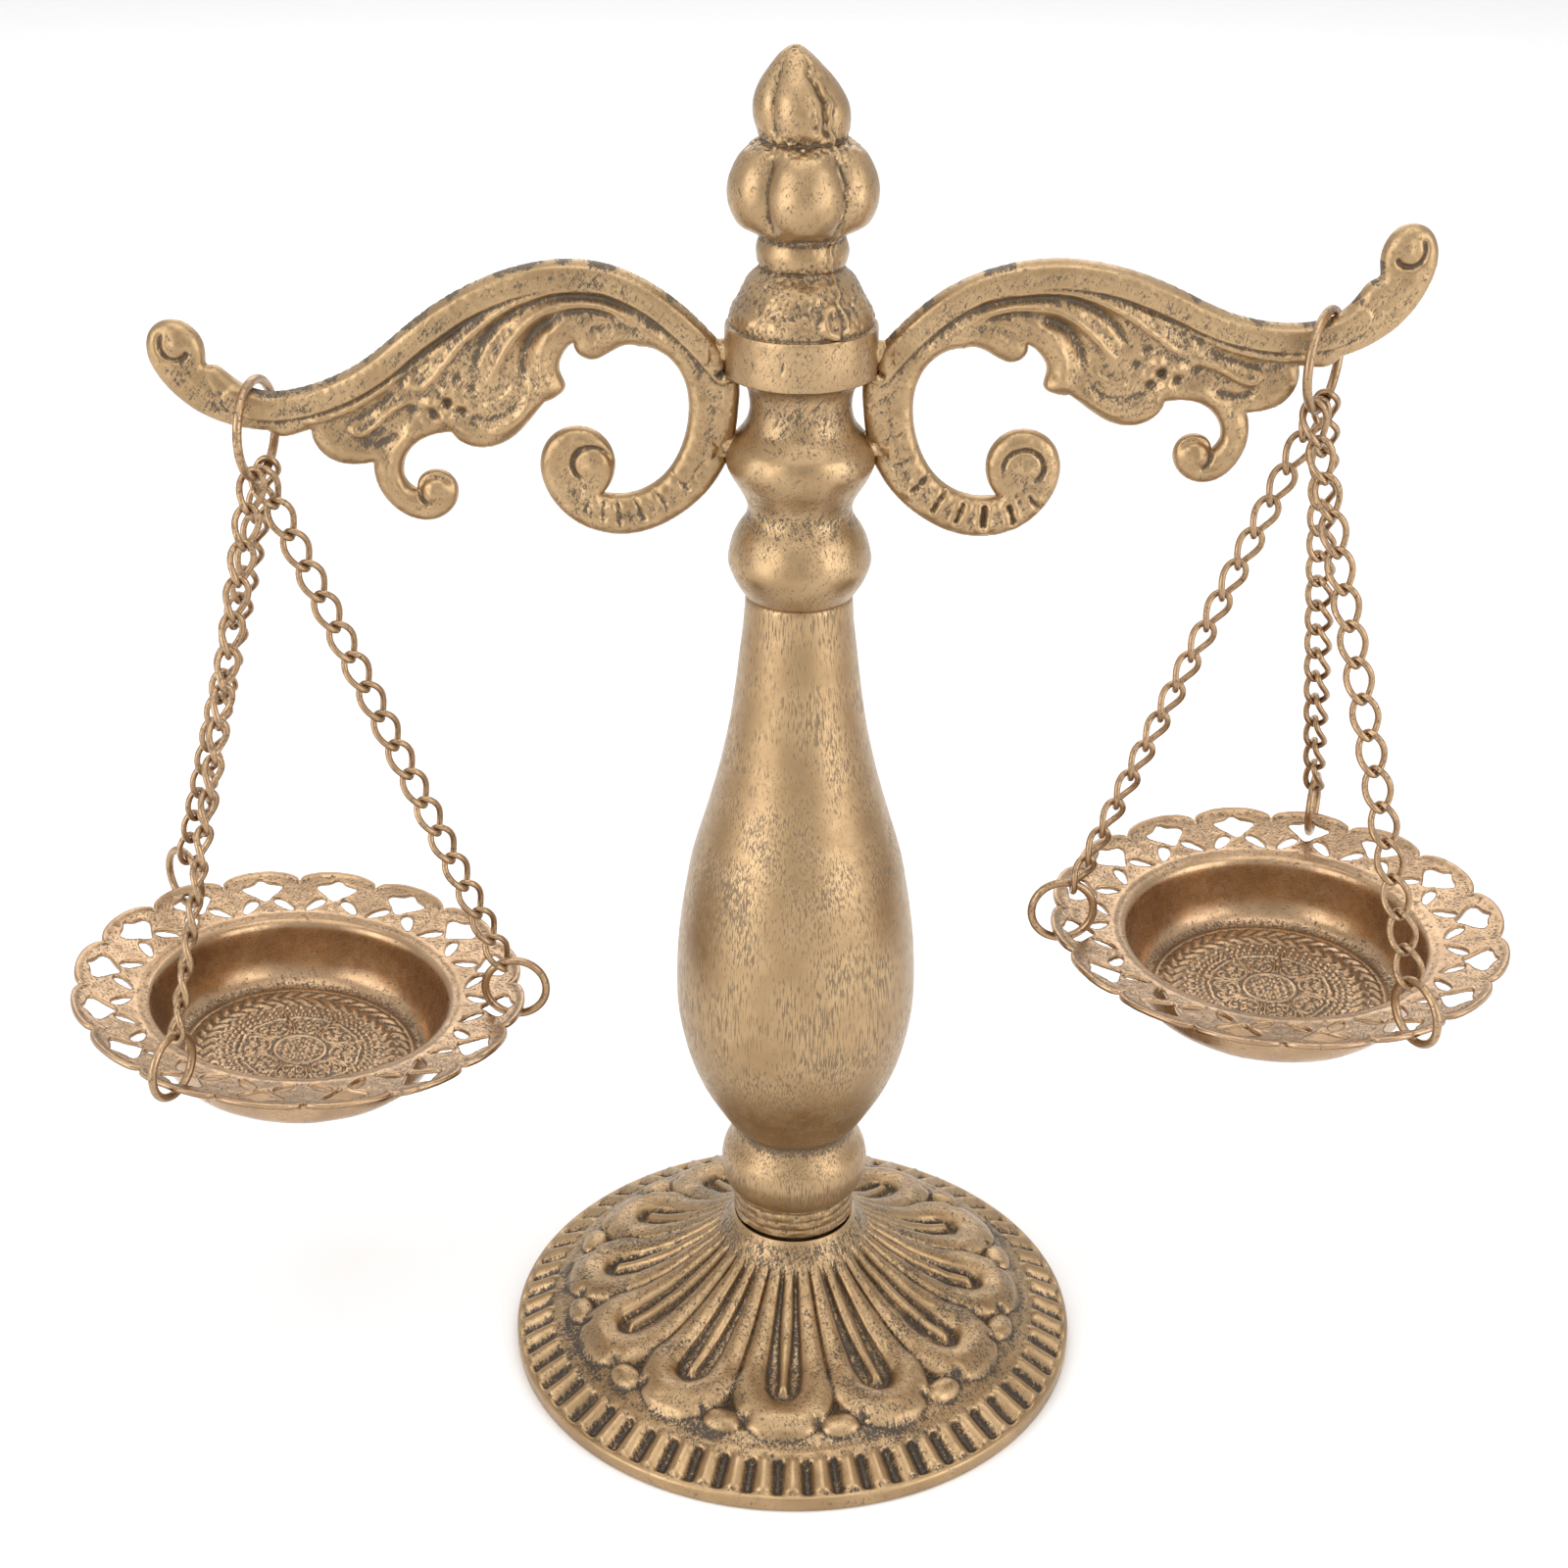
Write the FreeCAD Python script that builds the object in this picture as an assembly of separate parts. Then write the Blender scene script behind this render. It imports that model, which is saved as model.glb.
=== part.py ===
import FreeCAD, Part
import math
import os

# Decorative equal arm balance scale. Millimetres, +Z up. The origin is on the table, on the column's axis.
# Two arms are fixed to the head of a turned column. A dished pan hangs from each arm by a ring and three chains.

V = FreeCAD.Vector
UP = V(0, 0, 1)

# ---- driving dimensions ----
BASE_RADIUS = 55.0
BASE_RIM_HEIGHT = 3.0
COLUMN_BOTTOM = 35.3      # underside of the lowest bead
COLUMN_TOP = 158.0        # seam between column and head casting
SHOULDER_RADIUS = 11.5    # threaded shoulder seen between column and base
SHANK_RADIUS = 6.0        # threaded shank inside the base
BORE_RADIUS = 3.0
THREAD_PLAY = 0.06
PLATE_TOP = 22.0          # inside the base, the plate that the column stands on
PLATE_BOTTOM = 18.0
BAND_RADIUS = 12.7
BAND_BOTTOM = 198.0
BAND_TOP = 205.5
FINIAL_TOP = 250.5

ARM_THICKNESS = 5.0
CREST_BEAD_RADIUS = 2.6   # round bead along the top edge of an arm
BEND_CENTRE = (37.0, 202.0)
STRETCH_START = 34.0      # the arm is drawn in or out beyond this distance from the column's axis

# height, inner end, outer end and radius of the lugs between an arm and the head
LUGS = ((200.8, 11.0, 15.2, 3.1), (184.4, 11.0, 14.6, 3.1))

WIRE_HANGER = 1.6
HANGER_RADIUS = 8.3       # to the wire's centre
HANGER_GAP = 0.5          # above the bead, so that the ring can swing on it
WIRE_PAN_RING = 1.5
PAN_RING_RADIUS = 5.7
WIRE_LINK = 1.15
LINK_WIDTH = 5.4
LINK_PITCH = 6.2          # near enough: each chain has a whole number of links
LINK_TWIST = 90.0         # degrees between the two ends of a link
LINK_PLAY = 0.08
LINK_POINTS = 20          # of the curve along the middle of a link's wire
CHAIN_SPREAD = 24.0       # degrees along the hanger ring between neighbouring chains

PAN_RADIUS = 41.9
PAN_LIP_RADIUS = 29.2
PAN_WALL_RADIUS = 27.3
PAN_FLOOR_RADIUS = 22.0
PAN_DEPTH = 15.6          # from the outer edge to the floor's underside
PAN_SHEET = 0.8
RIM_SLOPE = 11.5          # degrees
LOBES = 16
LOBE_STEP = 360.0 / LOBES
PAN_RING_HEIGHT = 3.9     # centre of a pan ring above the pan's edge
PAN_RING_OUT = 40.1       # centre of a pan ring from the pan's axis

# sign: direction along X
# bend, stretch: turn of the arm's outer half in degrees, and its change of length per mm
# seat: distance from the column's axis to the hanger ring; yaw: of the ring's plane from the YZ plane
# pan: distance from the column's axis to the pan's centre, and height of its edge; tilt: about X and Y
# phase: turn of the pan's lobes; rings: the lobes that carry the front, side and back rings
SIDES = {
    "left": {"sign": -1, "bend": -7.6, "stretch": -0.018, "seat": 91.5, "yaw": 11.0, "pan": (92.7, 78.2),
             "tilt": (0.0, 5.7), "phase": -0.9, "rings": (246.6, -0.9, 134.1)},
    "right": {"sign": 1, "bend": 7.6, "stretch": -0.0595, "seat": 86.7, "yaw": 29.0, "pan": (88.9, 93.0),
              "tilt": (1.9, -0.6), "phase": 3.15, "rings": (295.65, 183.15, 70.65)},
}


def save(shape, node):
    shape.exportStep("parts/" + node + ".step")


def group(solids):
    return Part.makeCompound(solids)


def curve(points):
    spline = Part.BSplineCurve()
    spline.interpolate(points)
    return spline.toShape()


def turned(*runs):
    """Solid of revolution about Z. Each run is a list of (radius, height), smooth inside and sharp at its ends."""
    edges = []
    for run in runs:
        points = [V(radius, 0, height) for radius, height in run]
        if len(points) > 2:
            edges.append(curve(points))
        else:
            edges.append(Part.makeLine(points[0], points[1]))
    first = runs[0][0]
    last = runs[-1][-1]
    if first != last:
        edges.append(Part.makeLine(V(last[0], 0, last[1]), V(first[0], 0, first[1])))
    face = Part.Face(Part.Wire(edges))
    return face.revolve(V(0, 0, 0), UP, 360)


def steps(*corners):
    """Straight runs through the corners, for turned()."""
    return [[corners[i], corners[i + 1]] for i in range(len(corners) - 1)]


# ---- stand ----
def base_shell():
    """Domed cast foot with a hollow underside, a plate inside and a sunken seat at the top."""
    flank = [(53.6, 3.3), (46.0, 7.3), (40.0, 10.2), (34.0, 11.9), (28.0, 14.2), (22.0, 17.7), (17.0, 21.4),
             (14.0, 24.5), (12.4, 27.0)]
    inside = [(17.0, PLATE_BOTTOM), (23.0, 14.4), (30.0, 10.9), (38.0, 8.3), (44.0, 5.5), (48.5, 2.6), (51.5, 1.0)]
    shell = turned(
        [(BASE_RADIUS, 0), (BASE_RADIUS, BASE_RIM_HEIGHT)],
        [(BASE_RADIUS, BASE_RIM_HEIGHT), flank[0]],
        flank,
        *steps(flank[-1], (12.2, 26.8), (12.2, PLATE_TOP), (SHANK_RADIUS + THREAD_PLAY, PLATE_TOP),
               (SHANK_RADIUS + THREAD_PLAY, PLATE_BOTTOM), inside[0]),
        inside,
        [inside[-1], (51.5, 0)],
    )
    return shell


def base_washer():
    outer = Part.makeCylinder(11.0, 1.5, V(0, 0, PLATE_BOTTOM - 1.5))
    return outer.cut(Part.makeCylinder(SHANK_RADIUS + THREAD_PLAY, 1.5, V(0, 0, PLATE_BOTTOM - 1.5)))


def base_nut():
    across_corners = 9.5
    height = 5.0
    bottom = PLATE_BOTTOM - 1.5 - height
    corners = []
    for i in range(7):
        angle = math.radians(60 * i)
        corners.append(V(across_corners * math.cos(angle), across_corners * math.sin(angle), bottom))
    prism = Part.Face(Part.makePolygon(corners)).extrude(V(0, 0, height))
    return prism.cut(Part.makeCylinder(SHANK_RADIUS + THREAD_PLAY, height, V(0, 0, bottom)))


def column():
    """Hollow vase-shaped column with a bead and a threaded shoulder at its foot."""
    outside = turned(
        *steps((0, 10.0), (SHANK_RADIUS, 10.0), (SHANK_RADIUS, PLATE_TOP), (10.6, PLATE_TOP), (10.6, 28.5),
               (SHOULDER_RADIUS, 28.5), (SHOULDER_RADIUS, COLUMN_BOTTOM), (12.3, COLUMN_BOTTOM)),
        [(12.3, COLUMN_BOTTOM), (13.6, 38.0), (13.9, 41.0), (13.3, 43.4), (11.9, 46.2), (11.3, 48.3)],
        [(11.3, 48.3), (13.1, 51.0), (17.7, 59.1), (21.1, 69.6), (22.2, 81.0), (21.2, 94.5), (18.9, 107.4),
         (15.5, 119.0), (12.2, 133.0), (10.3, 147.0), (9.35, 157.0)],
        *steps((9.35, 157.0), (9.35, COLUMN_TOP), (0, COLUMN_TOP)),
    )
    hollow = turned(*steps((0, 10.0), (BORE_RADIUS, 10.0), (BORE_RADIUS, 52.0), (9.0, 56.0), (17.4, 70.0),
                           (18.4, 81.0), (15.2, 107.0), (8.6, 131.0), (BORE_RADIUS + THREAD_PLAY, 142.0),
                           (BORE_RADIUS + THREAD_PLAY, COLUMN_TOP), (0, COLUMN_TOP)))
    grooves = [Part.makeTorus(SHOULDER_RADIUS + 0.15, 0.55, V(0, 0, height)) for height in (30.6, 32.4, 34.2)]
    shape = outside.cut(hollow)
    for groove in grooves:
        shape = shape.cut(groove)
    return shape


def head_stud():
    return Part.makeCylinder(BORE_RADIUS, 28.0, V(0, 0, COLUMN_TOP - 14.0))


def head_casting():
    """Bead, cup, neck, plain band, dome, ring, melon and onion finial in one casting."""
    outside = turned(
        [(0, COLUMN_TOP), (9.6, COLUMN_TOP)],
        [(9.6, COLUMN_TOP), (11.5, 161.2), (12.33, 164.6), (11.4, 168.6), (9.6, 171.6), (8.94, 173.8)],
        [(8.94, 173.8), (10.6, 177.6), (12.4, 181.2), (12.5, 184.4), (10.4, 187.0), (8.8, 189.6), (8.7, 193.0),
         (9.9, 195.8), (11.6, 197.2)],
        *steps((11.6, 197.2), (BAND_RADIUS, BAND_BOTTOM), (BAND_RADIUS, BAND_TOP)),
        [(BAND_RADIUS, BAND_TOP), (12.2, 207.6), (10.5, 210.0), (9.2, 212.6), (7.0, 215.4)],
        [(7.0, 215.4), (7.65, 217.9), (7.2, 220.4)],
        [(7.2, 220.4), (10.8, 223.7), (11.98, 227.5), (10.9, 232.4), (8.4, 235.2), (6.7, 236.0)],
        [(6.7, 236.0), (7.62, 239.6), (6.9, 243.3), (4.4, 246.9), (1.6, 249.6), (0, FINIAL_TOP)],
    )
    return outside.cut(Part.makeCylinder(BORE_RADIUS + THREAD_PLAY, 15.0, V(0, 0, COLUMN_TOP)))


# ---- arms ----
# Outline of an arm before it is bent, as (distance from the column's axis, height). Each run is one smooth
# stroke, and the strokes meet at the sharp notches of the casting.
CREST = [(12.9, 200.4), (18.6, 206.8), (25.5, 212.4), (33.5, 215.7), (43.2, 216.2), (53.6, 213.8), (62.9, 209.4),
         (71.2, 204.4), (78.4, 201.6), (85.6, 200.3), (91.9, 200.7), (97.2, 203.8), (100.3, 208.2)]
TIP_CURL = [(100.3, 208.2), (100.4, 211.9), (103.9, 214.4), (107.8, 213.4), (109.4, 209.8), (107.7, 203.9),
            (102.8, 198.2), (97.4, 195.2), (92.1, 193.8)]
RING_DENT = [(92.1, 193.8), (89.6, 192.4), (86.9, 192.6), (84.8, 193.0)]
OUTER_LEAF = [(84.8, 193.0), (84.2, 189.6), (81.7, 187.0), (78.2, 186.0), (75.3, 186.0)]
SMALL_CURL = [(75.3, 186.0), (75.3, 181.6), (73.2, 177.6), (69.5, 175.0), (65.6, 174.9), (62.5, 177.2), (61.8, 180.6),
              (64.1, 183.2), (67.4, 182.8), (68.7, 180.4)]
SMALL_CURL_INSIDE = [(68.7, 180.4), (70.4, 182.6), (69.7, 186.0), (67.0, 188.6), (63.5, 189.6), (61.0, 189.6)]
MIDDLE_LEAF = [(61.0, 189.6), (59.1, 187.3), (55.2, 186.2), (51.1, 187.2), (47.4, 189.9), (44.2, 192.8)]
LEAF_HOOK = [(44.2, 192.8), (41.8, 193.4), (40.1, 194.8), (40.7, 197.6), (39.9, 200.2), (37.8, 202.2)]
INNER_LEAF = [(37.8, 202.2), (36.8, 200.1), (34.8, 199.3), (31.6, 200.6), (27.0, 201.6)]
SCROLL_INSIDE = [(27.0, 201.6), (22.6, 200.2), (19.6, 196.2), (18.8, 190.8), (20.0, 184.6), (23.6, 178.8),
                 (28.4, 176.1), (33.4, 176.0)]
BIG_CURL = [(33.4, 176.0), (31.5, 179.4), (31.7, 183.6), (34.6, 187.0), (38.8, 187.6), (42.6, 185.2), (44.0, 180.8),
            (42.6, 175.6), (38.8, 171.2), (33.6, 168.9), (27.6, 168.9), (20.8, 171.9), (14.8, 177.6), (11.4, 184.6),
            (10.4, 191.4), (11.2, 197.2), (12.9, 200.4)]
OUTER_STROKES = (TIP_CURL, RING_DENT, OUTER_LEAF, SMALL_CURL, SMALL_CURL_INSIDE, MIDDLE_LEAF, LEAF_HOOK)
INNER_STROKES = (INNER_LEAF, SCROLL_INSIDE, BIG_CURL)


def bend(point, side):
    """Turn a point of the outer half of the arm about the bend, and leave the inner half where it is."""
    reach = min(1.0, max(0.0, (point[0] - BEND_CENTRE[0] + 7.0) / 14.0))
    turn = math.radians(side["bend"]) * reach
    along = point[0] + max(0.0, point[0] - STRETCH_START) * side["stretch"] - BEND_CENTRE[0]
    above = point[1] - BEND_CENTRE[1]
    return (BEND_CENTRE[0] + along * math.cos(turn) - above * math.sin(turn),
            BEND_CENTRE[1] + along * math.sin(turn) + above * math.cos(turn))


def crest_line(side):
    """Centre line of the bead along the top edge of an arm."""
    below = V(0, 0, -CREST_BEAD_RADIUS)
    points = [bend(point, side) for point in CREST]
    return [V(side["sign"] * along, 0, height) + below for along, height in points]


def arm(side, head):
    """Cast arm: a flat scrolled plate in the XZ plane with a round bead along its top edge."""
    sign = side["sign"]
    crest = crest_line(side)
    runs = [crest]
    for stroke in OUTER_STROKES:
        runs.append([V(sign * along, 0, height) for along, height in (bend(p, side) for p in stroke)])
    for stroke in INNER_STROKES:
        runs.append([V(sign * along, 0, height) for along, height in stroke])
    runs[-1][-1] = crest[0]
    for i in range(1, len(runs)):
        runs[i][0] = runs[i - 1][-1]
    wire = Part.Wire([curve(points) for points in runs])
    back = V(0, ARM_THICKNESS / 2, 0)
    plate = Part.Face(wire).translated(back).extrude(back * -2)
    spine = Part.Wire([curve(crest)])
    section = Part.Wire([Part.makeCircle(CREST_BEAD_RADIUS, crest[0], crest[1] - crest[0])])
    bead = spine.makePipeShell([section], True, False)
    return plate.fuse(bead).cut(head)


def arm_lugs(sign, head, arm_shape):
    """The two short cast lugs that join an arm to the band and to the cup of the head."""
    lugs = []
    for height, inner, outer, radius in LUGS:
        lug = Part.makeCylinder(radius, outer - inner, V(sign * inner, 0, height), V(sign, 0, 0))
        lug = lug.cut(head).cut(arm_shape)
        lugs.extend(solid for solid in lug.Solids if solid.Volume > 0.5)
    return group(lugs)


# ---- hanging pieces ----
def seat_point(side):
    """Point of the bead's centre line under the hanger ring: the ring swings about it."""
    seat = V(side["sign"] * side["seat"], 0, 0)
    crossing = Part.makeLine(seat + UP * 150, seat + UP * 250)
    return curve(crest_line(side)).distToShape(crossing)[1][0][0]


def ring(centre, normal, radius, wire):
    return Part.makeTorus(radius, wire / 2, centre, normal)


def hanger_frame(side):
    """Centre and plane normal of a hanger ring resting on the arm."""
    normal = V(math.cos(math.radians(side["yaw"])), -math.sin(math.radians(side["yaw"])), 0)
    top = CREST_BEAD_RADIUS + HANGER_GAP + WIRE_HANGER / 2
    return seat_point(side) + UP * (top - HANGER_RADIUS), normal


def pan_frame(side):
    """Placement of a pan: origin at the centre of its outer edge, tilted about X and then about Y."""
    away, height = side["pan"]
    about_x, about_y = side["tilt"]
    turn = FreeCAD.Rotation(V(0, 1, 0), about_y).multiply(FreeCAD.Rotation(V(1, 0, 0), about_x))
    return FreeCAD.Placement(V(side["sign"] * away, 0, height), turn)


def link(length, placement):
    """Twisted oval link of round wire. Its upper end is at the origin and lies in the XZ plane."""
    half_length = length / 2
    half_width = (LINK_WIDTH - WIRE_LINK) / 2
    points = []
    for i in range(LINK_POINTS):
        angle = math.tau * i / LINK_POINTS
        across = half_width * math.cos(angle)
        along = half_length * math.sin(angle)
        twist = math.radians(LINK_TWIST) * (half_length - along) / length
        points.append(V(across * math.cos(twist), across * math.sin(twist), along - half_length))
    spline = Part.BSplineCurve()
    spline.interpolate(Points=points, PeriodicFlag=True)
    begin, end = spline.FirstParameter, spline.LastParameter
    middle = (begin + end) / 2
    halves = []
    for low, high in ((begin, middle), (middle, end)):
        section = Part.Wire(Part.makeCircle(WIRE_LINK / 2, spline.value(low), spline.tangent(low)[0]))
        halves.append(Part.Wire(spline.toShape(low, high)).makePipeShell([section], True, False))
    solid = halves[0].fuse(halves[1]).Solids[0]
    solid.Placement = placement
    return solid


def chain(start, end, first_normal, last_normal):
    """Straight taut curb chain between two end-wire centres, each link twisted a quarter turn along its length."""
    run = end - start
    direction = run.normalize()
    length = (end - start).Length
    count = round(length / LINK_PITCH)
    pitch = (length - WIRE_LINK - LINK_PLAY) / count
    first = (first_normal - direction * first_normal.dot(direction)).normalize()
    last = (last_normal - direction * last_normal.dot(direction)).normalize()
    turned_by = math.degrees(math.atan2(first.cross(last).dot(direction), first.dot(last)))
    spare = (turned_by + LINK_TWIST) % 180.0
    if spare > 90.0:
        spare -= 180.0
    step = spare / (count - 1)
    links = []
    for i in range(count):
        normal = FreeCAD.Rotation(direction, step * i).multVec(first)
        turn = FreeCAD.Rotation(V(), normal, direction * -1, "ZYX")
        place = FreeCAD.Placement(start + direction * (pitch * i), turn)
        links.append(link(pitch + LINK_PLAY + WIRE_LINK, place))
    return group(links)


def pan_profile():
    """Sheet section of a pan from its edge to its axis, as inner-surface and outer-surface runs."""
    fall = math.tan(math.radians(RIM_SLOPE))
    lip = -(PAN_RADIUS - PAN_LIP_RADIUS) * fall
    floor = -PAN_DEPTH + PAN_SHEET
    edge = PAN_SHEET / 2
    return turned(
        *steps((0, floor), (PAN_FLOOR_RADIUS, floor)),
        [(PAN_FLOOR_RADIUS, floor), (25.2, floor + 1.6), (26.6, floor + 6.0), (PAN_WALL_RADIUS, lip - 1.0),
         (28.0, lip + edge), (PAN_LIP_RADIUS, lip + edge)],
        *steps((PAN_LIP_RADIUS, lip + edge), (PAN_RADIUS, edge), (PAN_RADIUS, -edge), (PAN_LIP_RADIUS, lip - edge)),
        [(PAN_LIP_RADIUS, lip - edge), (28.3, lip - edge - 0.4), (27.5, lip - 3.2), (26.9, floor + 3.4),
         (25.0, floor - 0.2), (PAN_FLOOR_RADIUS, -PAN_DEPTH)],
        [(PAN_FLOOR_RADIUS, -PAN_DEPTH), (0, -PAN_DEPTH)],
    )


def polar(radius, degrees, height=0.0):
    angle = math.radians(degrees)
    return V(radius * math.cos(angle), radius * math.sin(angle), height)


def pan(side):
    """Thin dished pan with a scalloped, pierced rim."""
    valley = PAN_RADIUS - 2.0
    arcs = []
    fans = []
    for i in range(LOBES):
        middle = side["phase"] + i * LOBE_STEP
        half = LOBE_STEP / 2
        arcs.append(Part.Arc(polar(valley, middle - half, -9), polar(PAN_RADIUS, middle, -9),
                             polar(valley, middle + half, -9)).toShape())
        corners = [polar(34.6, middle - 1.2, -9), polar(38.3, middle - 4.3, -9), polar(39.8, middle, -9),
                   polar(38.3, middle + 4.3, -9), polar(34.6, middle + 1.2, -9)]
        fans.append(Part.Face(Part.makePolygon(corners + corners[:1])).extrude(UP * 14))
    scallop = Part.Face(Part.Wire(arcs)).extrude(UP * 14)
    outside_rim = Part.makeCylinder(PAN_RADIUS + 5, 14, V(0, 0, -9)).cut(scallop)
    return pan_profile().cut(outside_rim.multiFuse(fans))


def hang_side(name, side):
    centre, normal = hanger_frame(side)
    save(ring(centre, normal, HANGER_RADIUS, WIRE_HANGER), "hanger_ring_" + name)
    frame = pan_frame(side)
    sheet = pan(side)
    sheet.Placement = frame
    save(sheet, "pan_" + name)
    across = UP.cross(normal)
    for position, place, angle in zip((-1, 0, 1), ("front", "side", "back"), side["rings"]):
        swing = math.radians(CHAIN_SPREAD * position)
        wire_point = centre + across * (HANGER_RADIUS * math.sin(swing)) - UP * (HANGER_RADIUS * math.cos(swing))
        tangent = across * math.cos(swing) + UP * math.sin(swing)
        ring_centre = frame.multVec(polar(PAN_RING_OUT, angle, PAN_RING_HEIGHT))
        outward = frame.Rotation.multVec(polar(1, angle))
        down = (ring_centre - wire_point).normalize()
        ring_normal = down.cross(outward).normalize()
        start = wire_point - down * (WIRE_HANGER / 2 + WIRE_LINK / 2 + LINK_PLAY)
        end = ring_centre - down * (PAN_RING_RADIUS - WIRE_PAN_RING / 2 - WIRE_LINK / 2 - LINK_PLAY)
        pan_tangent = down.cross(ring_normal)
        save(ring(ring_centre, ring_normal, PAN_RING_RADIUS, WIRE_PAN_RING), "pan_ring_" + name + "_" + place)
        save(chain(start, end, tangent, pan_tangent), "chain_" + name + "_" + place)


def main():
    os.makedirs("parts", exist_ok=True)
    head = head_casting()
    save(base_shell(), "base_shell")
    save(base_washer(), "base_washer")
    save(base_nut(), "base_nut")
    save(column(), "column")
    save(head_stud(), "head_stud")
    save(head, "head_casting")
    for name, side in SIDES.items():
        shape = arm(side, head)
        save(shape, "arm_" + name)
        save(arm_lugs(side["sign"], head, shape), "arm_lugs_" + name)
        hang_side(name, side)


main()
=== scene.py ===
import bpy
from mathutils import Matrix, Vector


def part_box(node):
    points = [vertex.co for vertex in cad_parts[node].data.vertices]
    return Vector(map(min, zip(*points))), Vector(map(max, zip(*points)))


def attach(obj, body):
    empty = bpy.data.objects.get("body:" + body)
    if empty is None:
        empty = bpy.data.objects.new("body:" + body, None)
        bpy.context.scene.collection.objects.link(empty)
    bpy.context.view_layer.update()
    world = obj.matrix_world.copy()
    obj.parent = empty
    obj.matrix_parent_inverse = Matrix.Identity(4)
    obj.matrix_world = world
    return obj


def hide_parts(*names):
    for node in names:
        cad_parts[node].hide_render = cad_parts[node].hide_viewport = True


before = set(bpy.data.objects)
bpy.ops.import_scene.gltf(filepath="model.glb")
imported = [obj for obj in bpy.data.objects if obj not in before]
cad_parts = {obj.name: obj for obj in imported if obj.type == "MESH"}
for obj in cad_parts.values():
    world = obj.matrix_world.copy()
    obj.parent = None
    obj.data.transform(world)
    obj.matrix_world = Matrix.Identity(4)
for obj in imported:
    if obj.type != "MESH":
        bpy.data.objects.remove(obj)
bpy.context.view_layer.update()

import math
import bpy
import numpy as np
from mathutils import Matrix, Vector

# Looks of a gilt balance scale. Shapes are worked out in millimetres and stored in metres.
MM = 0.001
TAU = 2 * math.pi

# ---- camera ----
CAMERA_PLACE = (-0.0024, -0.4020, 0.3221)
CAMERA_FALL = 26.61       # degrees below the horizon
CAMERA_ROLL = 0.38        # degrees
CAMERA_LENS = 57.35       # millimetres, on a 36 mm sensor

# ---- lamps ----
# name, degrees round and up, distance, width and height in metres, power in watts
LAMPS = (
    ("softbox_left", -52, 14, 1.0, 0.7, 0.8, 4.2),
    ("softbox_right", 56, 14, 1.0, 0.7, 0.8, 3.8),
    ("softbox_top", 10, 80, 1.2, 1.2, 1.0, 5.0),
    ("softbox_back", 180, 35, 1.4, 1.2, 0.7, 4.0),
)
LAMP_AIM = (0, 0, 0.13)

# ---- base ----
PETALS = 12
FRONT_PETAL = -3.0        # degrees from the front, towards +X
PETAL_START = 14.2        # radius where the petals' outlines begin
PETAL_SHOULDER = 34.6     # radius where the sides end and the round tip begins
PETAL_TIP = 6.6           # reach of the round tip
FLUTES = 60
FLUTE_RADIUS = 51.1
# rings between petals and flutes: rise, radius and width
BASE_LINES = ((-0.12, 45.6, 0.9), (0.15, 46.9, 0.8))
# outlines of the foot as (radius, height): its top, its rim and its hollow inside
BASE_FLANK = [(11.45, 28.0), (12.6, 26.5), (14.0, 24.5), (16.0, 22.2), (18.0, 20.5), (20.0, 19.1),
              (22.0, 17.7), (25.0, 15.8), (28.0, 14.2), (31.0, 12.8), (34.0, 11.9), (37.0, 11.1),
              (40.0, 10.2), (43.0, 8.9), (46.0, 7.3), (49.0, 5.6), (53.6, 3.3)]
BASE_RIM = [(53.6, 3.3), (54.6, 3.1), (55.0, 2.7), (55.0, 0.4), (54.6, 0.0), (51.5, 0.0)]
BASE_INSIDE = [(51.5, 0.0), (51.5, 1.0), (48.5, 2.6), (44.0, 5.5), (38.0, 8.3), (30.0, 10.9), (23.0, 14.4),
               (17.0, 18.0), (6.1, 18.0), (6.1, 22.0), (12.2, 22.0), (11.4, 27.5)]

# ---- column and head, as (radius, height) runs ----
COLUMN_FOOT = [(0.0, 10.0), (6.0, 10.0), (6.0, 22.0), (10.6, 22.0), (10.6, 28.6), (11.2, 28.5)]
THREAD_START = 28.7
THREAD_PITCH = 1.75
COLUMN_THREAD = [(11.2, 28.5), (11.6, 28.9), (11.6, 35.1)]
COLUMN_BEAD = [(11.6, 35.1), (12.4, 35.3), (13.4, 36.9), (13.9, 39.5), (13.9, 41.4), (13.3, 43.8),
               (11.9, 46.3), (11.3, 48.3), (11.8, 49.6), (13.1, 51.0), (15.5, 55.0), (17.7, 59.1),
               (19.7, 64.2), (21.1, 69.6), (22.0, 75.3), (22.2, 81.0), (21.9, 88.0), (21.2, 94.5),
               (20.1, 101.5), (18.9, 107.4), (15.9, 117.5), (13.9, 125.0), (12.2, 133.0), (11.2, 139.6),
               (10.3, 147.0), (9.6, 153.0), (9.35, 157.2)]
COLUMN_SEAM = [(9.35, 157.2), (9.1, 157.7), (8.7, 158.0), (0.0, 158.0)]
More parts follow.
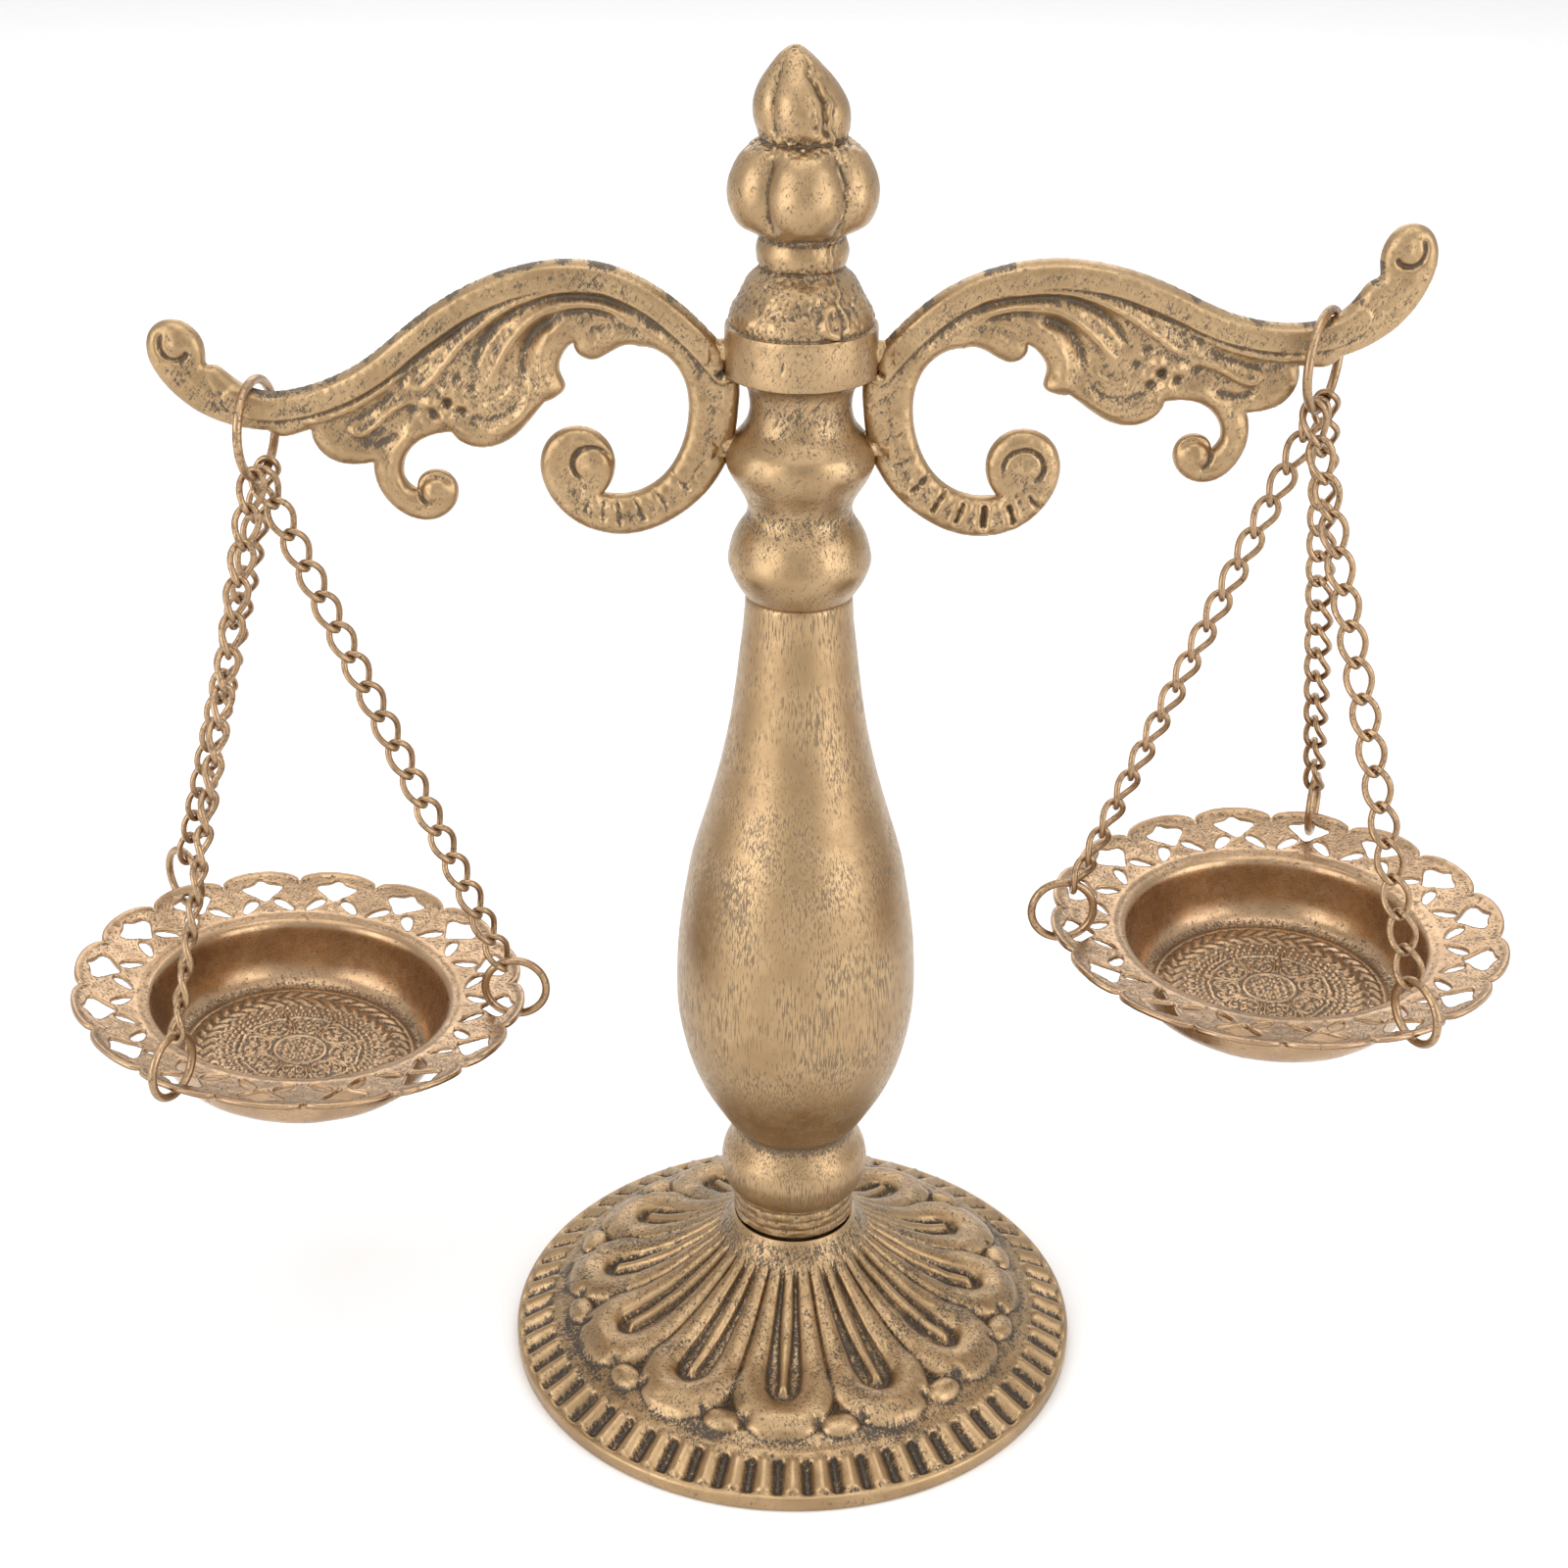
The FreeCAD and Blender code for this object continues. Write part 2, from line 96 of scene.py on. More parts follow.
HEAD_RUNS = (
    [(0.0, 158.0), (9.3, 158.0)],
    [(9.3, 158.0), (9.9, 158.8), (11.2, 160.9), (12.1, 163.0), (12.35, 164.8), (11.9, 167.2), (10.9, 169.6),
     (9.8, 171.3)],
    [(9.8, 171.3), (9.1, 172.6), (8.95, 174.0), (9.5, 175.8), (10.5, 177.6), (11.6, 179.4), (12.5, 181.4),
     (12.7, 183.2), (12.2, 185.0), (10.8, 186.8), (9.5, 188.4), (8.8, 190.2), (8.6, 192.2), (9.0, 194.6),
     (10.0, 196.3), (11.6, 197.2)],
    [(11.6, 197.2), (12.4, 197.5), (12.72, 198.2), (12.72, 205.0), (12.4, 205.6), (11.9, 205.9)],
    [(11.9, 205.9), (12.0, 207.0), (11.6, 208.4), (10.9, 209.4), (10.0, 211.0), (9.4, 212.4), (8.8, 213.4),
     (7.7, 214.5), (6.9, 215.4)],
    [(6.9, 215.4), (7.3, 216.2), (7.65, 217.9), (7.4, 219.4), (7.0, 220.2)],
    [(7.0, 220.2), (7.6, 221.0), (8.9, 221.8), (10.6, 223.3), (11.6, 225.3), (12.0, 227.5), (11.8, 229.6),
     (11.2, 231.4), (10.2, 233.3), (8.7, 235.0), (6.9, 235.9)],
    [(6.9, 235.9), (7.3, 237.2), (7.65, 239.4), (7.6, 241.3), (7.0, 243.2), (5.9, 245.1), (4.5, 246.9),
     (2.9, 248.7), (1.6, 249.8), (0.7, 250.35), (0.0, 250.5)],
)
# darker (below 0) and lighter (above 0) bands on column and head: strength, height and width
# the column's lighter band at 157.6 is a painted highlight on the top seam; the darker bands sit in creases
# and waists
COLUMN_SHADE = ((-0.55, 35.4, 0.35), (-0.25, 48.3, 1.6), (0.9, 157.6, 0.9))
HEAD_SHADE = ((-0.2, 171.4, 0.5), (-0.12, 174.0, 2.0), (-0.15, 192.0, 3.0), (-0.3, 197.2, 0.5))
PARTING = 38.0            # degrees from the front: the mould's parting line on the head
HEAD_LOBES = 5            # on the melon and on the bud
# leaves on the dome: rise, degrees from the front, width, height of the middle, reach up and down
DOME_LEAVES = (
    (0.55, -24, 3.0, 211.2, 1.6), (0.45, -48, 1.8, 208.2, 1.4), (0.4, 8, 2.4, 212.0, 1.2),
    (0.5, 70, 2.4, 209.5, 2.0), (0.5, 150, 3.4, 210.0, 2.0), (0.5, -120, 3.4, 210.5, 2.0),
)

# ---- arms, before they are bent, as (distance from the column's axis, height) ----
# degrees that the outer half turns, and the share it stretches beyond STRETCH_START
ARM_BEND = {"left": (-7.6, -0.018), "right": (7.6, -0.0595)}
STRETCH_START = 34.0
BEND_CENTRE = (37.0, 202.0)
ARM_HALF = 2.05           # half the thickness of the plain body
EDGE_ROUND = 2.3          # reach of the rounding, in from the outline
BEAD_RADIUS = 2.6
TIP_NOTCH = (100.5, 205.3)   # where the bead stops short of the curl
CREST = [(12.9, 200.4), (18.6, 206.8), (25.5, 212.4), (33.5, 215.7), (43.2, 216.2), (53.6, 213.8),
         (62.9, 209.4), (71.2, 204.4), (78.4, 201.6), (85.6, 200.3), (91.9, 200.7), (97.2, 203.8),
         (100.3, 208.2)]
# height and width of a stroke and its points: ridges are positive and grooves negative
STROKES = (
    (0.75, 0.75, [(23.2, 206.6), (28.5, 209.9), (33.8, 211.3), (41.0, 211.4), (47.0, 210.0), (51.5, 208.0),
                  (56.0, 205.0), (60.0, 201.6), (62.6, 199.2), (64.6, 198.2), (66.2, 199.0), (66.0, 200.6)]),
    (1.00, 0.95, [(26.8, 206.0), (32.0, 208.3), (37.2, 209.0), (42.3, 208.1), (45.9, 206.1), (48.8, 203.3),
                  (51.0, 200.3), (52.4, 197.9)]),
    (0.80, 1.40, [(34.6, 207.4), (38.6, 206.4), (41.8, 203.8), (43.6, 200.2), (43.4, 196.2), (41.9, 194.6)]),
    (0.70, 0.70, [(66.6, 201.6), (70.4, 199.2), (75.4, 196.9), (80.4, 195.4), (85.4, 194.9)]),
    (0.75, 0.65, [(66.4, 196.6), (70.2, 194.9), (73.6, 192.7), (76.0, 191.6), (77.2, 192.1), (77.0, 193.4)]),
    (0.60, 1.70, [(20.6, 201.0), (26.0, 203.8), (31.6, 203.8), (35.8, 201.8)]),
    (0.45, 0.80, [(23.4, 203.9), (28.0, 206.2), (32.8, 206.4), (36.6, 204.8)]),
    (-0.85, 0.85, [(40.0, 206.9), (44.0, 204.8), (46.4, 201.4), (47.2, 197.4)]),
    (-0.80, 0.80, [(44.0, 209.9), (48.2, 208.0), (52.4, 204.8), (55.2, 200.4)]),
    (-0.45, 0.60, [(28.0, 208.0), (33.2, 209.9), (39.6, 210.3), (44.4, 209.6)]),
    (-0.55, 0.60, [(30.0, 206.6), (34.6, 208.0), (38.8, 207.8)]),
    (-0.75, 0.75, [(22.4, 208.3), (28.4, 211.4), (34.2, 212.9), (43.6, 213.2), (52.0, 210.6), (58.4, 206.4),
                   (65.2, 203.0), (73.0, 199.2), (80.0, 197.2), (86.0, 196.9)]),
    (-0.60, 1.00, [(62.0, 203.2), (65.0, 201.2), (68.6, 199.2)]),
    (-0.50, 0.70, [(68.8, 197.8), (73.4, 195.4), (78.4, 193.5)]),
    (0.45, 0.90, [(46.0, 193.4), (48.6, 191.0), (52.6, 189.6), (57.0, 189.9), (60.0, 191.4)]),
    (-0.35, 0.60, [(47.4, 195.0), (50.0, 192.6), (53.6, 191.6), (57.4, 192.2)]),
    (0.35, 0.55, [(48.4, 196.8), (51.2, 194.5), (54.6, 193.8)]),
    (-0.55, 0.80, [(69.6, 190.8), (73.2, 189.4), (76.6, 189.6)]),
    (0.35, 1.10, [(66.6, 192.4), (70.0, 188.2), (71.4, 183.6), (70.2, 179.4)]),
    (0.45, 1.20, [(92.0, 197.4), (98.0, 200.0), (103.6, 205.0), (105.8, 209.8)]),
)
# soft round lumps and pits: height, radius and place
LUMPS = (
    (0.75, 1.25, (60.1, 196.9)), (0.75, 1.25, (63.3, 195.5)), (0.75, 1.25, (61.2, 192.9)),
    (0.60, 1.2, (58.0, 194.9)), (-1.05, 0.75, (60.6, 195.0)), (-0.75, 1.1, (58.4, 199.0)),
    (-0.85, 0.8, (58.4, 193.2)), (-0.8, 0.8, (63.2, 193.4)), (-0.55, 0.9, (66.6, 194.6)),
    (-0.6, 1.0, (56.2, 196.9)), (0.55, 3.6, (51.6, 190.6)), (0.35, 2.4, (79.0, 190.4)),
)
# a curl: its middle, the radius of its boss, the radius of its groove, and the groove's first and last angle
CURLS = (
    ((36.9, 181.0), 1.9, 3.35, -70.0, 205.0),
    ((65.7, 179.6), 1.5, 2.75, -75.0, 170.0),
    ((104.0, 210.2), 1.3, 2.5, -170.0, 60.0),
)
FLOWER = (61.0, 195.0)
# Punched notches along the underside of the scroll: first and last place, then how deep each one is.
NOTCHES = (
    ((12.6, 191.0), (16.0, 191.5)), ((13.8, 186.2), (17.3, 187.3)), ((15.9, 181.6), (18.9, 183.3)),
    ((19.0, 177.3), (21.7, 180.0)), ((22.6, 173.9), (24.5, 177.0)), ((26.7, 171.8), (27.8, 174.9)),
    ((30.9, 171.0), (31.1, 174.3)), ((35.0, 171.6), (34.4, 174.6)), ((38.9, 173.4), (37.3, 176.0)),
)
NOTCH_DEPTHS = (0.12, 0.2, 0.3, 0.8, 0.9, 1.1, 1.25, 1.0, 0.7)
NOTCH_STRENGTH = {"left": 0.45, "right": 1.0}

# lugs between the head and an arm: inner and outer end, height and radius
LUGS = ((10.9, 15.6, 200.8, 2.5), (10.9, 15.0, 184.4, 2.4))

# ---- pans ----
LOBES = 16
PAN_RADIUS = 41.9         # at the lobes' tips
PAN_VALLEY = 39.3         # between two lobes
PAN_SHEET = 0.8
PAN_PHASE = {"left": -0.9, "right": 3.15}   # degrees that the lobes are turned
# degrees round the pan of its front, side and back ring
PAN_RINGS = {"left": (246.6, -0.9, 134.1), "right": (295.65, 183.15, 70.65)}
PAN_RING_PLACE = (40.1, 3.9)   # out from the pan's axis, above its edge
# the bowl's wall as (radius, height)
PAN_SECTION = [(29.2, -2.58), (28.55, -2.72), (28.0, -3.0), (27.6, -3.7), (27.35, -4.9), (27.05, -7.0),
               (26.6, -9.3), (26.0, -11.4), (25.1, -13.3), (23.9, -14.6), (22.6, -15.15), (21.6, -15.2)]
# half of the fan-shaped hole, as (radius, degrees from the lobe's middle line)
HALF_FAN = [(40.2, 0.0), (39.3, 2.0), (38.9, 3.8), (38.6, 5.6), (37.7, 6.2), (36.5, 5.0), (35.3, 3.0),
            (34.1, 1.2), (33.8, 0.0)]
LEAF_HOLE_RADIUS = 32.7
LEAF_HOLE_TURN = 5.9      # degrees to each side of the lobe's middle line
LEAF_HOLE_LEAN = 40
LIP_RADIUS = 29.2         # where the pierced rim meets the bowl
RIM_SLOPE = 11.5          # degrees
FLOOR_RADIUS = 21.3
FLOOR_HEIGHT = -15.2
FLOOR_PETALS = 8
# lines in half a petal, as (distance from its middle line, distance out)
FLOOR_STROKES = (
    [(0.3, 5.7), (1.3, 6.0), (1.9, 6.8), (1.5, 7.6), (0.8, 7.5), (0.7, 6.9)],
    [(2.1, 5.9), (2.6, 7.4), (2.9, 8.6), (2.5, 9.8), (1.6, 10.1), (1.1, 9.5), (1.5, 8.9), (2.0, 9.1)],
    [(0.0, 11.2), (0.9, 11.0), (1.9, 11.1), (3.0, 10.9), (3.7, 10.3), (4.2, 11.0)],
    [(3.2, 8.0), (3.6, 9.0), (3.9, 9.6)],
    [(0.0, 8.2), (0.5, 8.7), (0.0, 9.6)],
)
# rows of beads: radius, number, size and rise
FLOOR_BEADS = ((12.35, 60, 0.42, 0.34), (13.6, 66, 0.42, 0.34), (15.0, 36, 0.5, 0.30))
# ropes: radius, half width, strands and lean
FLOOR_ROPES = ((17.0, 1.15, 40, 1.0), (19.5, 1.2, 44, -1.0))
# plain raised lines: rise, radius and width
FLOOR_LINES = ((0.16, 21.3, 0.3), (0.14, 18.25, 0.22), (0.14, 15.75, 0.18))

# ---- colours ----
GOLD = (0.49, 0.332, 0.176, 1)
DEEP_GOLD = (0.35, 0.228, 0.114, 1)
BRASS = (0.53, 0.348, 0.200, 1)
DEEP_BRASS = (0.36, 0.228, 0.125, 1)
SOFT_PATINA = (0.105, 0.076, 0.048, 1)
WIRE_GOLD = (0.46, 0.300, 0.165, 1)
MID_PATINA = (0.062, 0.045, 0.031, 1)
COLUMN_PATINA = (0.135, 0.094, 0.055, 1)
STEEL = (0.42, 0.41, 0.39, 1)
DARK_STEEL = (0.22, 0.19, 0.16, 1)
PAPER = (0.90, 0.90, 0.90, 1)
PALE_PAPER = (0.93, 0.93, 0.93, 1)


# ---------------------------------------------------------------- numbers

def smooth(x, low, high):
    """0 up to low, easing to 1 at high."""
    t = np.clip((x - low) / (high - low), 0.0, 1.0)
    return t * t * (3 - 2 * t)


def ease_off(x, low, high):
    """1 up to low, easing to 0 at high."""
    return smooth(-x, -high, -low)


def bell(x, width):
    return np.exp(-(x / width) ** 2)


def bands(x, table):
    """Sum of soft bands across x. Each has a rise, a middle and a width."""
    total = np.zeros_like(x)
    for rise, middle, width in table:
        total += rise * bell(x - middle, width)
    return total


def spline_through(points, step):
    """Points about step apart on a smooth curve through the given ones."""
    p = np.array(points, float)
    if len(p) == 2:
        count = max(2, int(np.linalg.norm(p[1] - p[0]) / step) + 1)
        return p[0] + (p[1] - p[0]) * np.linspace(0, 1, count)[:, None]
    p = np.vstack([2 * p[0] - p[1], p, 2 * p[-1] - p[-2]])
    out = []
    for a, b, c, d in zip(p[:-3], p[1:-2], p[2:-1], p[3:]):
        count = max(2, int(np.linalg.norm(c - b) / step) + 1)
        t = np.linspace(0, 1, count, endpoint=False)[:, None]
        bow = (2 * a - 5 * b + 4 * c - d) * t ** 2 + (3 * b - a - 3 * c + d) * t ** 3
        out.append(0.5 * (2 * b + (c - a) * t + bow))
    out.append(p[-2][None])
    return np.vstack(out)


def nearest(places, samples):
    """Distance from each place to the nearest sample, and that sample's number."""
    far = np.empty(len(places))
    which = np.empty(len(places), int)
    for start in range(0, len(places), 4000):
        part = places[start:start + 4000]
        gap = ((part[:, None, :] - samples[None]) ** 2).sum(2)
        which[start:start + 4000] = gap.argmin(1)
        far[start:start + 4000] = np.sqrt(gap.min(1))
    return far, which


def lattice(places, seed):
    """Repeatable noise between -1 and 1 at places given in cells."""
    cell = np.floor(places).astype(np.int64)
    t = places - cell
    t = t * t * (3 - 2 * t)
    total = np.zeros(places.shape[:-1])
    for corner in range(8):
        offset = np.array([corner & 1, corner >> 1 & 1, corner >> 2 & 1])
        x, y, z = np.moveaxis(cell + offset, -1, 0)
        mixed = (x * 73856093) ^ (y * 19349663) ^ (z * 83492791) ^ (seed * 2654435761)
        mixed = (mixed ^ (mixed >> 13)) * 1274126177 & 0x7FFFFFFF
        value = (mixed % 20011) / 10005.0 - 1
        total += value * np.prod(np.where(offset, t, 1 - t), axis=-1)
    return total


def rough(places, size, seed, octaves=3):
    """Layered noise with features of the given size in millimetres."""
    total = np.zeros(places.shape[:-1])
    for i in range(octaves):
        total += lattice(places / size * 2 ** i + 17.3 * i, seed + i) * 0.5 ** i
    return total


# ---------------------------------------------------------------- meshes

def make(name, body, material, places, faces, nodes, extra, scales=((8, 0.05), (50, 0.22))):
    """A smooth mesh piece from millimetre places. Its relief attribute tells raised from sunken places, with
    the extra values added: dirt, wear and painted shade and highlights.
    """
    mesh = bpy.data.meshes.new(name)
    mesh.from_pydata(np.asarray(places) * MM, [], faces)
    mesh.validate()
    if signed_volume(mesh) < 0:
        mesh.flip_normals()
    mesh.polygons.foreach_set("use_smooth", np.ones(len(mesh.polygons), bool))
    mesh.update()
    values = convexity(mesh, scales) + extra
    attribute = mesh.attributes.new("relief", "FLOAT", "POINT")
    attribute.data.foreach_set("value", np.clip(values, -1, 1).astype(np.float32))
    mesh.materials.append(material)
    piece = bpy.data.objects.new(name, mesh)
    bpy.context.scene.collection.objects.link(piece)
    bpy.context.view_layer.update()
    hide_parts(*nodes)
    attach(piece, body)
    return piece


def vertex_places(mesh):
    """Places of a mesh's vertices in millimetres."""
    places = np.empty(len(mesh.vertices) * 3)
    mesh.vertices.foreach_get("co", places)
    return places.reshape(-1, 3) / MM


def triangle_corners(mesh):
    """Vertex numbers of a mesh's triangles."""
    mesh.calc_loop_triangles()
    corners = np.empty(len(mesh.loop_triangles) * 3, np.int32)
    mesh.loop_triangles.foreach_get("vertices", corners)
    return corners.reshape(-1, 3)


def signed_volume(mesh):
    """Positive when the faces of a closed mesh look outwards."""
    p = vertex_places(mesh)[triangle_corners(mesh)]
    return (p[:, 0] * np.cross(p[:, 1], p[:, 2])).sum()


def convexity(mesh, scales):
    """How far each vertex stands out of its surroundings, from -1 in hollows to 1 on ridges.

    scales holds rounds of smoothing and the height in millimetres that counts as fully raised."""
    count = len(mesh.vertices)
    places = vertex_places(mesh)
    normals = np.empty(count * 3, np.float32)
    mesh.vertex_normals.foreach_get("vector", normals)
    normals = normals.reshape(-1, 3)
    ends = np.empty(len(mesh.edges) * 2, np.int32)
    mesh.edges.foreach_get("vertices", ends)
    a, b = ends[::2], ends[1::2]
    degree = np.bincount(a, minlength=count) + np.bincount(b, minlength=count)
    soft = places.copy()
    total = np.zeros(count)
    done = 0
    for rounds, scale in scales:
        for _ in range(rounds - done):
            for k in range(3):
                column = soft[:, k]
                column_sum = np.bincount(a, column[b], count) + np.bincount(b, column[a], count)
                soft[:, k] = 0.5 * column + 0.5 * column_sum / degree
        done = rounds
        total += np.clip(((places - soft) * normals).sum(1) / scale, -1, 1) / len(scales)
    return total


def lay_grid(rows, columns, wrap_rows, wrap_columns):
    """Quads over a grid of rows by columns."""
    r = np.arange(rows if wrap_rows else rows - 1)
    c = np.arange(columns if wrap_columns else columns - 1)
    i, j = [m.ravel() for m in np.meshgrid(r, c, indexing="ij")]
    i2, j2 = (i + 1) % rows, (j + 1) % columns
    return np.stack([i * columns + j, i * columns + j2, i2 * columns + j2, i2 * columns + j], 1)


def walk(points, step):
    """A sharp-cornered path resampled about step apart, corners kept."""
    p = np.array(points, float)
    out = [p[:1]]
    for a, b in zip(p[:-1], p[1:]):
        count = max(1, int(round(np.linalg.norm(b - a) / step)))
        out.append(a + (b - a) * (np.arange(1, count + 1) / count)[:, None])
    return np.vstack(out)


def section_normals(path, closed):
    """Outward normals in the (radius, height) plane of a path that runs with the solid on its right."""
    if closed:
        along = np.roll(path, -1, 0) - np.roll(path, 1, 0)
    else:
        along = np.gradient(path, axis=0)
    along = along / np.maximum(np.linalg.norm(along, axis=1, keepdims=True), 1e-9)
    return np.stack([-along[:, 1], along[:, 0]], 1)


def ring_places(radius, height, angles):
    """Grid of places on circles. An angle of 0 is the front, -Y, and grows towards +X."""
    x = radius * np.sin(angles)
    y = -radius * np.cos(angles)
    return np.stack([x, y, height + 0 * x], -1)


def turned_grid(path, columns):
    """Angle, radius and height over a turned shape's grid."""
    angles = TAU * np.arange(columns) / columns
    a, r = np.meshgrid(angles, path[:, 0])
    _, z = np.meshgrid(angles, path[:, 1])
    return a, r, z


def cap(places, shade, first, last):
    """Closes a grid's two ends, which are single points on the axis: places, faces and shade."""
    rows, columns = len(places) - 2, places.shape[1]
    faces = close_ends(lay_grid(rows, columns, False, True), rows, columns)
    closed = np.vstack([places[1:-1].reshape(-1, 3), [first, last]])
    return closed, faces, np.append(shade[1:-1].ravel(), [0, 0])


def close_ends(quads, rows, columns):
    """Adds a fan of triangles at each end of a tube of rows, to points placed after the grid."""
    low, high = rows * columns, rows * columns + 1
    j = np.arange(columns)
    j2 = (j + 1) % columns
    last = (rows - 1) * columns
    first_fan = np.stack([j2, j, np.full(columns, low)], 1)
    last_fan = np.stack([last + j, last + j2, np.full(columns, high)], 1)
    return quads.tolist() + first_fan.tolist() + last_fan.tolist()


def open_edges(faces):
    """Edges that only one face has, in that face's direction."""
    directed = np.stack([faces, np.roll(faces, -1, 1)], 2).reshape(-1, 2)
    _, first, times = np.unique(np.sort(directed, 1), axis=0, return_index=True, return_counts=True)
    return directed[first[times == 1]]


def shell(middle, normals, faces, half):
    """A sheet of the given half thickness round a middle surface, closed along its open edges."""
    count = len(middle)
    top = middle + normals * half
    bottom = middle - normals * half
    edge = open_edges(faces)
    walls = np.stack([edge[:, 1], edge[:, 0], edge[:, 0] + count, edge[:, 1] + count], 1)
    return np.vstack([top, bottom]), np.vstack([faces, faces[:, ::-1] + count, walls])


# ---------------------------------------------------------------- materials

class Tree:
    """Short calls for building a material's nodes."""

    def __init__(self, name):
        self.material = bpy.data.materials.new(name)
        self.material.use_nodes = True
        self.nodes = self.material.node_tree.nodes
        self.links = self.material.node_tree.links
        self.shader = self.nodes["Principled BSDF"]

    def add(self, kind, inputs=None, out=0, **settings):
        node = self.nodes.new(kind)
        for key, value in settings.items():
            setattr(node, key, value)
        for key, value in (inputs or {}).items():
            self.put(node.inputs[key], value)
        return node.outputs[out]

    def put(self, socket, value):
        if isinstance(value, bpy.types.NodeSocket):
            self.links.new(value, socket)
        else:
            socket.default_value = value

    def surface(self, inputs):
        """Sets the shader's inputs and gives back the finished material."""
        for key, value in inputs.items():
            self.put(self.shader.inputs[key], value)
        return self.material

    def math(self, operation, *values):
        return self.add("ShaderNodeMath", dict(enumerate(values)), operation=operation)

    def ramp(self, value, low, high, to_low=0.0, to_high=1.0):
        return self.add("ShaderNodeMapRange", {0: value, 1: low, 2: high, 3: to_low, 4: to_high},
                        interpolation_type="SMOOTHSTEP")

    def mix(self, factor, a, b):
        return self.add("ShaderNodeMix", {0: factor, 6: a, 7: b}, out=2, data_type="RGBA")

    def noise(self, place, scale, detail=3.0, roughness=0.55, distortion=0.0):
        return self.add("ShaderNodeTexNoise", {"Vector": place, "Scale": scale, "Detail": detail,
                                               "Roughness": roughness, "Distortion": distortion})

    def stretched(self, place, scale, turn=(0.0, 0.0, 0.0)):
        turned = self.add("ShaderNodeMapping", {"Vector": place, "Rotation": turn}) if any(turn) else place
        return self.add("ShaderNodeMapping", {"Vector": turned, "Scale": scale})


def gilt(name, light, deep, patina, streak, wear, specks, shine, grain, soft=0.25, scatter=0.9):
    """Antique gold: dark patina in the hollows, brushed gold on the ridges, fine scratches and specks.

    streak is the stretch of the brush marks, wear the relief where gold starts, specks the level above which
    specks show, shine the gold's roughness, grain the height of its fine bumps, soft the half-width of the
    step from patina to gold, and scatter how far the specks stray from the brush marks."""
    t = Tree(name)
    place = t.add("ShaderNodeTexCoord", out=3)
    place = t.stretched(place, (1000.0, 1000.0, 1000.0))
    relief = t.add("ShaderNodeAttribute", out=2, attribute_name="relief")
    cloud = t.noise(place, 0.09, 2.0)
    blotch = t.noise(place, 0.55, 4.0, 0.6)
    fine = t.noise(place, 3.2, 3.0, 0.65)
    hair_a = t.noise(t.stretched(place, (2.6, 2.6, 0.35), (0.5, 0.3, 0.4)), 1.0, 3.0, 0.6, 0.8)
    hair_b = t.noise(t.stretched(place, (0.4, 2.4, 2.4), (0.2, 0.9, 0.3)), 1.0, 3.0, 0.6, 0.8)
    brush = t.noise(t.stretched(place, streak), 1.0, 3.0, 0.58)

    hairs = t.math("ADD", hair_a, hair_b)
    hairs = t.math("SUBTRACT", hairs, 1.0)
    edge = t.math("MULTIPLY_ADD", hairs, 2.4 + 3.0 * (soft - 0.25), relief)
    edge = t.math("MULTIPLY_ADD", t.math("SUBTRACT", fine, 0.5), 0.9, edge)
    gold = t.ramp(edge, wear - 0.05 - soft, wear - 0.05 + soft)

    speck = t.math("MULTIPLY_ADD", t.math("SUBTRACT", blotch, 0.5), scatter, brush)
    speck = t.math("MULTIPLY_ADD", t.math("SUBTRACT", cloud, 0.5), 0.5, speck)
    speck = t.math("MULTIPLY_ADD", t.math("SUBTRACT", fine, 0.5), 0.6 * scatter, speck)
    speck = t.ramp(speck, specks, specks + 0.16)
    bare = t.math("MULTIPLY", gold, t.math("SUBTRACT", 1.0, t.math("MULTIPLY", speck, 0.75)))

    body = t.mix(t.ramp(cloud, 0.3, 0.7), deep, light)
    body = t.mix(t.ramp(brush, 0.35, 0.72, 0.0, 0.55), body, deep)
    colour = t.mix(bare, patina, body)
    dull = t.ramp(blotch, 0.3, 0.75, shine - 0.05, shine + 0.1)
    roughness = t.add("ShaderNodeMix", {0: bare, 2: 0.62, 3: dull}, data_type="FLOAT")
    height = t.math("MULTIPLY_ADD", brush, 0.5, fine)
    height = t.math("MULTIPLY_ADD", bare, 0.35, height)
    bump = t.add("ShaderNodeBump", {"Strength": 0.55, "Distance": grain * MM, "Height": height})
    return t.surface({"Base Color": colour, "Metallic": t.ramp(bare, 0.0, 1.0, 0.5, 1.0),
                      "Roughness": roughness, "Normal": bump, "Specular IOR Level": 0.25,
                      "Coat Weight": 0.35, "Coat Roughness": 0.3})


def steel(name):
    """Plain turned steel, for the fixings that the foot hides."""
    t = Tree(name)
    place = t.stretched(t.add("ShaderNodeTexCoord", out=3), (1000.0, 1000.0, 1000.0))
    turned = t.noise(t.stretched(place, (0.4, 0.4, 6.0)), 1.0, 3.0)
    spots = t.noise(place, 0.8, 4.0)
    colour = t.mix(t.ramp(spots, 0.45, 0.75), STEEL, DARK_STEEL)
    bump = t.add("ShaderNodeBump", {"Strength": 0.4, "Distance": 0.03 * MM, "Height": turned})
    return t.surface({"Base Color": colour, "Roughness": t.ramp(turned, 0.3, 0.7, 0.28, 0.5),
                      "Metallic": 1.0, "Normal": bump})


def paper(name):
    """Plain pale floor with a faint tooth."""
    t = Tree(name)
    place = t.add("ShaderNodeTexCoord", out=3)
    tooth = t.noise(place, 60.0, 3.0)
    return t.surface({"Base Color": t.mix(tooth, PAPER, PALE_PAPER), "Roughness": 0.9,
                      "Specular IOR Level": 0.1})


